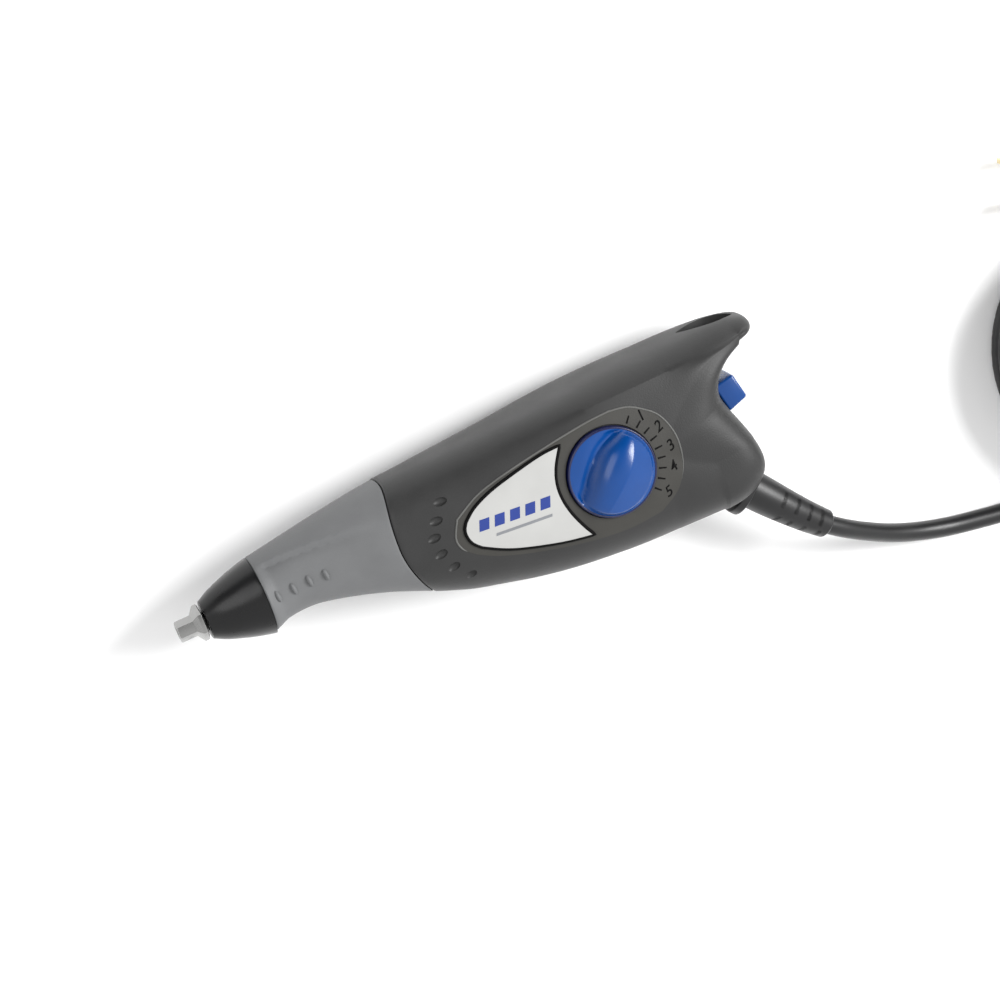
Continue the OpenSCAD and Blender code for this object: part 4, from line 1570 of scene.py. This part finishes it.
@dataclass
class Face:
    """Things laid on the left side: the panel, its border, the name plate and the dial's scale."""

    skin: Skin
    plate: Patch = Patch(
        Line.through((84.9, -7.9), (90.9, -11.2), (97.3, -13.6), (106.0, -16.1), (112.9, -17.5), (115.7, -17.9)),
        Line.through((83.2, 0.6), (86.7, 3.4), (92.5, 5.9), (100.5, 7.9), (109.1, 9.6), (115.2, 10.0)),
        Line.through((84.9, -7.9), (82.8, -5.7), (82.0, -3.2), (82.2, -1.2), (83.2, 0.6)),
        Line.through(
            (115.7, -17.9), (113.6, -14.2), (111.4, -9.0), (110.3, -3.9), (110.5, 0.9), (112.1, 5.3), (115.2, 10.0)
        ),
    )
    panel: Patch = Patch(
        Line.through((82.6, -9.2), (88.5, -12.4), (97, -15.4), (108, -18.3), (118, -20.2), (127, -21.0), (136, -20.3)),
        Line.through(
            (81.2, 2.2), (88.2, 6.0), (95.2, 8.0), (102.4, 9.4), (111.3, 10.9), (119, 12.0), (125.7, 12.7),
            (131.6, 12.9),
        ),
        Line.through((82.6, -9.2), (79.7, -6.2), (79.0, -2.6), (81.2, 2.2)),
        Line.through(
            (136, -20.3), (141.2, -17.2), (144.0, -14), (146.2, -9.5), (147.0, -4), (146.6, 1), (144.4, 6.2),
            (141, 9.4), (136.8, 11.9), (131.6, 12.9),
        ),
    )

    def laid(self, patch: Patch, lift: float, thick: float, columns: int, rows: int) -> bpy.types.Object:
        """Lays a patch on the skin as a closed plate.

        Args:
            patch: Its plan.
            lift: Height of its face over the skin in millimetres.
            thick: Its thickness.
            columns: Vertices along it.
            rows: Vertices across it.

        Returns:
            The plate.
        """

        def at(j: int, i: int) -> Point:
            """Place of a vertex."""
            x, y = patch.at(j / (columns - 1), i / (rows - 1))
            return x, y, self.skin.height(x, y) + lift

        sheet = welded(mapped_grid(columns, rows, at), close=False)
        editing(sheet)
        bpy.ops.mesh.extrude_region_move()
        bpy.ops.transform.translate(value=(0, 0, -thick * MM))
        deselect()
        return welded(sheet, close=False)

    def bead(self, points: Table, radius: float, lift: float, closed: bool) -> bpy.types.Object:
        """Lays a thin round bead on the skin.

        Args:
            points: Its plan line.
            radius: Its radius in millimetres.
            lift: Height of its middle over the skin.
            closed: Whether it meets itself.

        Returns:
            The bead.
        """
        line = [TOOL.row((x, y, self.skin.height(x, y) + lift)) for x, y in points]
        ends = [1.0 if closed else ease((min(i, len(line) - 1 - i) + 1) / 14) for i in range(len(line))]
        return tube_mesh(line, [radius * MM * end for end in ends], 10, closed)

    def seat_cutter(self) -> bpy.types.Object:
        """The dial's seat."""
        return post(DIAL_AT, (10, 30), DIAL_SEAT_R, 96)

    def build(self) -> None:
        """Builds everything on the face."""
        ride = Ride("housing", "housing_plastic")
        panel = cut(self.laid(self.panel, 0.07, 0.5, 70, 40), [self.seat_cutter()])
        finished(smooth(panel, 30), "dial_panel", PANEL, ride)
        steps = evenly(0, 1, 60)
        arc = [self.panel.right.at(share) for share in steps[12:]]
        arc += [self.panel.upper.at(share) for share in steps[-2::-1]]
        arc += [self.panel.left.at(share) for share in steps[-2:8:-1]]
        # The raised border bead; its light grey is painted highlight.
        border = self.bead(arc, 0.28, 0.02, False)
        finished(smooth(border, 50), "panel_border_highlight", BORDER_HIGHLIGHT, ride)
        plate = bevelled(self.laid(self.plate, 0.42, 0.8, 56, 36), 0.12, 2, 50)
        finished(smooth(plate, 40), "name_plate_face", PLATE, Ride("housing", "plate_print", ("name_plate",)))
        # Painted shadow: a black bead laid round the name plate stands in for the shadow in the gap round it.
        painted_groove_shadow = self.bead(self.plate.outline(), 0.5, 0.12, True)
        finished(smooth(painted_groove_shadow, 50), "plate_groove", INK, ride)
        self.emblem()
        Scale(self.skin).build()

    def emblem(self) -> None:
        """A plain printed emblem: slanted bars over a thin line."""
        ride = Ride("housing", "plate_print")
        along, up = Vector((0.995, -0.07)), Vector((0.07, 0.995))
        for index in range(5):
            start = Vector((85.6, -3.4)) + along * 4.5 * index
            corners = [start, start + along * 2.9, start + along * 3.8 + up * 3.2, start + along * 0.9 + up * 3.2]
            patch = self.quad([tuple(c) for c in corners])
            finished(smooth(self.laid(patch, 0.47, 0.12, 6, 8)), f"emblem_bar_{index + 1}", EMBLEM_BLUE, ride)
        start = Vector((89.6, -6.4))
        corners = [start, start + along * 16.5, start + along * 16.7 + up * 0.8, start + along * 0.2 + up * 0.8]
        line = self.laid(self.quad([tuple(c) for c in corners]), 0.47, 0.12, 20, 3)
        finished(smooth(line), "emblem_line", EMBLEM_GREY, ride)

    @staticmethod
    def quad(corners: Table) -> Patch:
        """A straight-sided patch from its corners, in turn."""
        a, b, c, d = corners
        return Patch(Line((a, b)), Line((d, c)), Line((a, d)), Line((b, c)))


@dataclass
class Scale:
    """Tick marks and numbers round the dial."""

    skin: Skin
    tick_angles: Point = (50, 37, 25.5, 14, 2.5, -9, -20.5, -32, -44)
    numbers: Table = ((139.4, 7.9), (143.0, 3.1), (144.3, -3.3), (143.0, -9.3), (139.4, -15.6))

    def tick(self, angle: float) -> bpy.types.Object:
        """One tick, laid on the panel.

        Args:
            angle: Degrees from the tool's length.

        Returns:
            The tick.
        """
        way = Vector((math.cos(math.radians(angle)), math.sin(math.radians(angle))))
        side = Vector((-way.y, way.x)) * 0.27
        inner, outer = Vector(DIAL_AT) + way * 13.9, Vector(DIAL_AT) + way * 16.2
        corners = [tuple(inner - side), tuple(outer - side * 0.7), tuple(outer + side * 0.7), tuple(inner + side)]
        return Face(self.skin).laid(Face.quad(corners), 0.14, 0.1, 8, 3)

    def number(self, text: str, at: Point) -> bpy.types.Object:
        """One brush-like number, laid on the panel.

        Args:
            text: The digit.
            at: Its middle in the tool's frame.

        Returns:
            The number.
        """
        deselect()
        bpy.ops.object.text_add()
        data = bpy.context.object.data
        data.body, data.size, data.shear, data.offset = text, 4.4, 0.3, 0.012
        data.align_x, data.align_y, data.resolution_u = "CENTER", "CENTER", 6
        bpy.ops.object.convert(target="MESH")
        digit = bpy.context.object
        editing(digit)
        bpy.ops.mesh.remove_doubles(threshold=0.001)
        bpy.ops.mesh.quads_convert_to_tris()
        bpy.ops.mesh.subdivide(number_cuts=1)
        deselect()
        turn = Matrix.Rotation(math.radians(20), 3, "Z")
        for vertex in digit.data.vertices:
            flat = turn @ vertex.co
            x, y = at[0] + flat.x, at[1] + flat.y
            vertex.co = TOOL.row((x, y, self.skin.height(x, y) + 0.14))
        editing(digit)
        bpy.ops.mesh.extrude_region_move()
        bpy.ops.transform.translate(value=(0, 0, -0.1 * MM))
        deselect()
        return welded(digit, close=False)

    def build(self) -> None:
        """Builds the ticks and the numbers."""
        ride = Ride("housing", "housing_plastic")
        finished(joined([self.tick(angle) for angle in self.tick_angles]), "dial_ticks", INK, ride)
        for index, at in enumerate(self.numbers):
            finished(self.number(str(index + 1), at), f"dial_number_{index + 1}", INK, ride)


# ---- Power slide, strain relief and cord ----


def tube_mesh(line: Sequence[Vector], radii: Sequence[float], sides: int, closed: bool = False) -> bpy.types.Object:
    """Sweeps a circle along a line in the row frame.

    Args:
        line: The line's points in metres.
        radii: The radius at each point.
        sides: Sides of the tube.
        closed: Whether the line meets itself.

    Returns:
        The closed tube.
    """
    data = bpy.data.curves.new("line", "CURVE")
    data.dimensions = "3D"
    data.bevel_depth = 1.0
    data.bevel_resolution = sides // 2 - 1
    data.use_fill_caps = not closed
    spline = data.splines.new("POLY")
    spline.points.add(len(line) - 1)
    for point, at, radius in zip(spline.points, line, radii):
        point.co = (*at, 1)
        point.radius = radius
    spline.use_cyclic_u = closed
    obj = bpy.data.objects.new("line", data)
    bpy.context.scene.collection.objects.link(obj)
    pick(obj)
    bpy.ops.object.convert(target="MESH")
    return welded(bpy.context.object, close=False)


@dataclass
class PowerSlide:
    """The blue slide on the back wall."""

    top: float = 6.9

    def build(self) -> None:
        """Builds the button with its stem."""
        cap = box((-4.4, 4.4), (0.3, self.top), (-5.4, 5.4), SLIDE_FRAME)
        editing(cap)
        bpy.ops.mesh.select_all(action="DESELECT")
        deselect()
        way = (SLIDE_FRAME.to_3x3() @ Vector((0, 1, 0))).normalized()
        for polygon in cap.data.polygons:
            polygon.select = polygon.normal.dot(way) > 0.9
        pick(cap)
        bpy.ops.object.mode_set(mode="EDIT")
        bpy.ops.mesh.select_mode(type="FACE")
        middle = TOOL.row(SLIDE_FRAME @ Vector((0, self.top, 0)))
        bpy.ops.transform.resize(value=(0.9, 0.9, 0.93), center_override=middle)
        bpy.ops.mesh.select_mode(type="VERT")
        deselect()
        cap = bevelled(cap, 0.75, 5, 20)
        stem = box((-2.5, 2.5), (-7, 1), (-2.8, 2.8), SLIDE_FRAME)
        cut(cap, [stem], "UNION")
        finished(smooth(cap, 35), "power_slide_button", BLUE, Ride("power_slide", "blue_plastic", ("switch_button",)))


@dataclass
class StrainRelief:
    """The boot: an oval collar in the housing and a slotted sleeve round the cord."""

    route: Table = (
        (164.2, -28.3, 0), (165.4, -29.8, 0), (170.1, -35.5, -0.1), (174.7, -40.9, -0.6), (179.3, -46.0, -1.6),
        (184.2, -51.0, -2.9),
    )
    radii: Point = (5.6, 5.6, 5.35, 4.95, 4.55, 4.1)

    def frame_at(self, share: float) -> tuple[Vector, Vector, float]:
        """Place, direction and radius part of the way along the boot.

        Args:
            share: 0 at the collar and 1 at the end.

        Returns:
            The place in the tool's frame, the direction and the radius.
        """
        path = smooth_path([(*p, r) for p, r in zip(self.route[1:], self.radii[1:])], 12)
        index = min(int(share * (len(path) - 1)), len(path) - 2)
        here, after = Vector(path[index][:3]), Vector(path[index + 1][:3])
        return here, (after - here).normalized(), path[index][3]

    def slots(self) -> list[bpy.types.Object]:
        """The cutters of the staggered slots.

        Returns:
            The cutters.
        """
        made = []
        for row in range(4):
            for step in range(4):
                here, way, radius = self.frame_at(0.37 + 0.16 * step + (0.03 if row % 2 else 0.0))
                across = way.cross(Vector((0, 0, 1))).normalized()
                up = across.cross(way)
                turn = math.radians(113 + 90 * row)
                out = across * math.cos(turn) + up * math.sin(turn)
                side = way.cross(out)
                matrix = Matrix((way, side, out)).transposed().to_4x4()
                slot = box((-0.65, 0.65), (-2.5, 2.5), (radius - 1.5, radius + 2), Matrix.Translation(here) @ matrix)
                made.append(bevelled(slot, 0.3, 2))
        return made

    def build(self) -> None:
        """Builds the boot."""
        path = smooth_path([(*p, r) for p, r in zip(self.route, self.radii)], 8)
        line = [TOOL.row(p[:3]) for p in path]
        radii = [p[3] * MM for p in path]
        radii[-1] *= 0.9
        boot = tube_mesh(line, radii, 40)
        cut(boot, self.slots())
        core = tube_mesh(line[2:-1], [3.1 * MM] * len(line[2:-1]), 24)
        cut(boot, [core, self.collar(), self.neck()], "UNION")
        finished(smooth(boot, 35), "strain_relief_boot", CORD, Ride("housing", "cord_pvc", ("strain_relief",)))

    def collar(self) -> bpy.types.Object:
        """The oval collar against the housing.

        Returns:
            The collar.
        """
        plate = box((-1.5, 0.9), (-8.7, 8.7), (-7, 7), RELIEF_FRAME)
        way = RELIEF_FRAME.to_3x3() @ Vector((1, 0, 0))
        bevel = plate.modifiers.new("corners", "BEVEL")
        bevel.width, bevel.segments, bevel.limit_method = 6.2 * MM, 12, "WEIGHT"
        attribute = plate.data.attributes.new("bevel_weight_edge", "FLOAT", "EDGE")
        for edge in plate.data.edges:
            a, b = (plate.data.vertices[i].co for i in edge.vertices)
            attribute.data[edge.index].value = 1.0 if abs((b - a).normalized().dot(way)) > 0.9 else 0.0
        return bevelled(apply_modifiers(plate), 0.45, 3, 50)

    def neck(self) -> bpy.types.Object:
        """The part behind the collar that the housing holds."""
        turn = RELIEF_FRAME @ ALONG_X
        return lathe(((6.3, -6), (6.3, -4.25), (4.95, -4.2), (4.95, -1.0)), turn, 48)


@dataclass
class Plug:
    """The two-blade plug at the cord's end."""

    body: bpy.types.Object = field(init=False)

    def build(self) -> None:
        """Builds the plug's body."""
        turn = Matrix.Translation((303.5, 8.2, -21.6 + 7.5)) @ Matrix.Rotation(math.radians(165), 4, "Z")
        block = bevelled(box((-2.5, 16), (-12, 12), (-7.4, 7.4), turn), 2.6, 5)
        profile = ((3.4, -20), (4.2, -19.6), (4.3, -17), (5.2, -14), (5.9, -9), (7.0, -3), (7.2, 2), (7.2, 6))
        neck = lathe(profile, turn @ ALONG_X, 48)
        rib = ((4.3, 0.0), (5.6, 0.3), (5.6, 1.3), (4.3, 1.6))
        ribs = [lathe([(r, x + dx) for r, dx in rib], turn @ ALONG_X, 48) for x in (-17, -14.2, -11.4)]
        cut(block, [neck, *ribs], "UNION")
        self.body = finished(smooth(block, 35), "mains_plug_body", CORD, Ride("housing", "cord_pvc", ("plug_body",)))


@dataclass
class MainsCord:
    """The cord: out of the boot, down to the bench, eight turns of coil and out to the plug."""

    radius: float = 2.8
    coil_at: Point = (290.0, -42.0)
    lie_z: float = -18.8
    run: Table = (
        (181.6, -48.5, -2.2), (184.2, -51.0, -2.9), (189.6, -55.4, -5), (196.6, -60.5, -8.8), (204.6, -65.6, -13),
        (213.2, -69.8, -16.4), (222.5, -73, -18.4), (232, -75, -18.8), (243, -76.8, -18.8), (254, -77.8, -18.8),
        (265, -78.3, -18.8), (278, -78.3, -18.8),
    )
    layers: Table = ((36.3, 0), (30.7, 0), (30.7, 1), (36.3, 1), (36.3, 2), (30.7, 2), (30.7, 3), (36.3, 3))
    tail: Table = (
        (-98, 36.6, 19.6), (-88, 38.4, 19.1), (-78, 40.4, 17.6), (-68, 42.0, 14.2), (-48, 43.6, 8.6), (-28, 44.6, 5),
        (-10, 46, 3), (10, 48, 2.8), (28, 50.6, 3.4), (42, 53.4, 5.4), (54, 55.7, 7.5),
    )

    def round_coil(self, angle: float, distance: float, z: float) -> Point:
        """A place round the coil's middle."""
        turn = math.radians(angle)
        return self.coil_at[0] + distance * math.cos(turn), self.coil_at[1] + distance * math.sin(turn), z

    def centreline(self) -> list[Point]:
        """The cord's whole centreline in the tool's frame.

        Returns:
            The points.
        """
        line = smooth_path([*self.run, self.round_coil(-90, 36.3, self.lie_z)], 4)[:-1]
        for turn, (distance, layer) in enumerate(self.layers):
            after = self.layers[min(turn + 1, len(self.layers) - 1)]
            for step in range(60):
                share = ease((step - 50) / 10)
                here = distance + (after[0] - distance) * share
                level = layer + (after[1] - layer) * share
                line.append(self.round_coil(-90 + 6 * step, here, self.lie_z + level * 5.6))
        first = self.round_coil(-90, 36.3, self.lie_z + 3 * 5.6)
        tail = [self.round_coil(a, r, -21.6 + h) for a, r, h in self.tail[2:]]
        return line + smooth_path([first, *tail], 5)

    def build(self, plug: bpy.types.Object) -> None:
        """Args:
            plug: The plug's body; not used.
        """
        line = [TOOL.row(p) for p in self.centreline()]
        data = bpy.data.curves.new("mains_cord", "CURVE")
        data.dimensions = "3D"
        data.bevel_depth = self.radius * MM
        data.bevel_resolution = 5
        data.use_fill_caps = True
        spline = data.splines.new("POLY")
        spline.points.add(len(line) - 1)
        for point, at in zip(spline.points, line):
            point.co = (*at, 1)
        spline.use_smooth = True
        cord = bpy.data.objects.new("mains_cord", data)
        bpy.context.scene.collection.objects.link(cord)
        cord = finished(cord, "mains_cord", CORD, Ride("housing", "cord_pvc", ("cord_run", "cord_coil", "cord_tail")))
        length = sum(math.dist(a, b) for a, b in zip(line, line[1:]))
        LOG.info("cord length %.3f m", length)


@dataclass
class CadNodes:
    """The CAD nodes that are shown as they are."""

    def build(self) -> None:
        """Gives every CAD node its procedural finish."""
        for part in frame["record"]["subparts"]:
            node = frame["nodes"][part["node"]]
            node.data.materials.clear()
            node.data.materials.append(SLOT_FINISH[part["material_slot"]].build())
            LOG.info("%s: CAD node, %s", part["node"], part["material_slot"])


def main() -> None:
    """Builds every piece, part by part."""
    logging.basicConfig(level=logging.INFO, format="%(message)s")
    Studio().build()
    CadNodes().build()
    plug = Plug()
    plug.build()
    MainsCord().build(plug.body)
    housing = Housing()
    housing.build()
    GripSleeve().build()
    NoseCone().build()
    Chuck().build()
    ReturnSpring().build()
    Dial().build()
    Face(housing.skin).build()
    PowerSlide().build()
    StrainRelief().build()
    deselect()


if __name__ == "__main__":
    main()
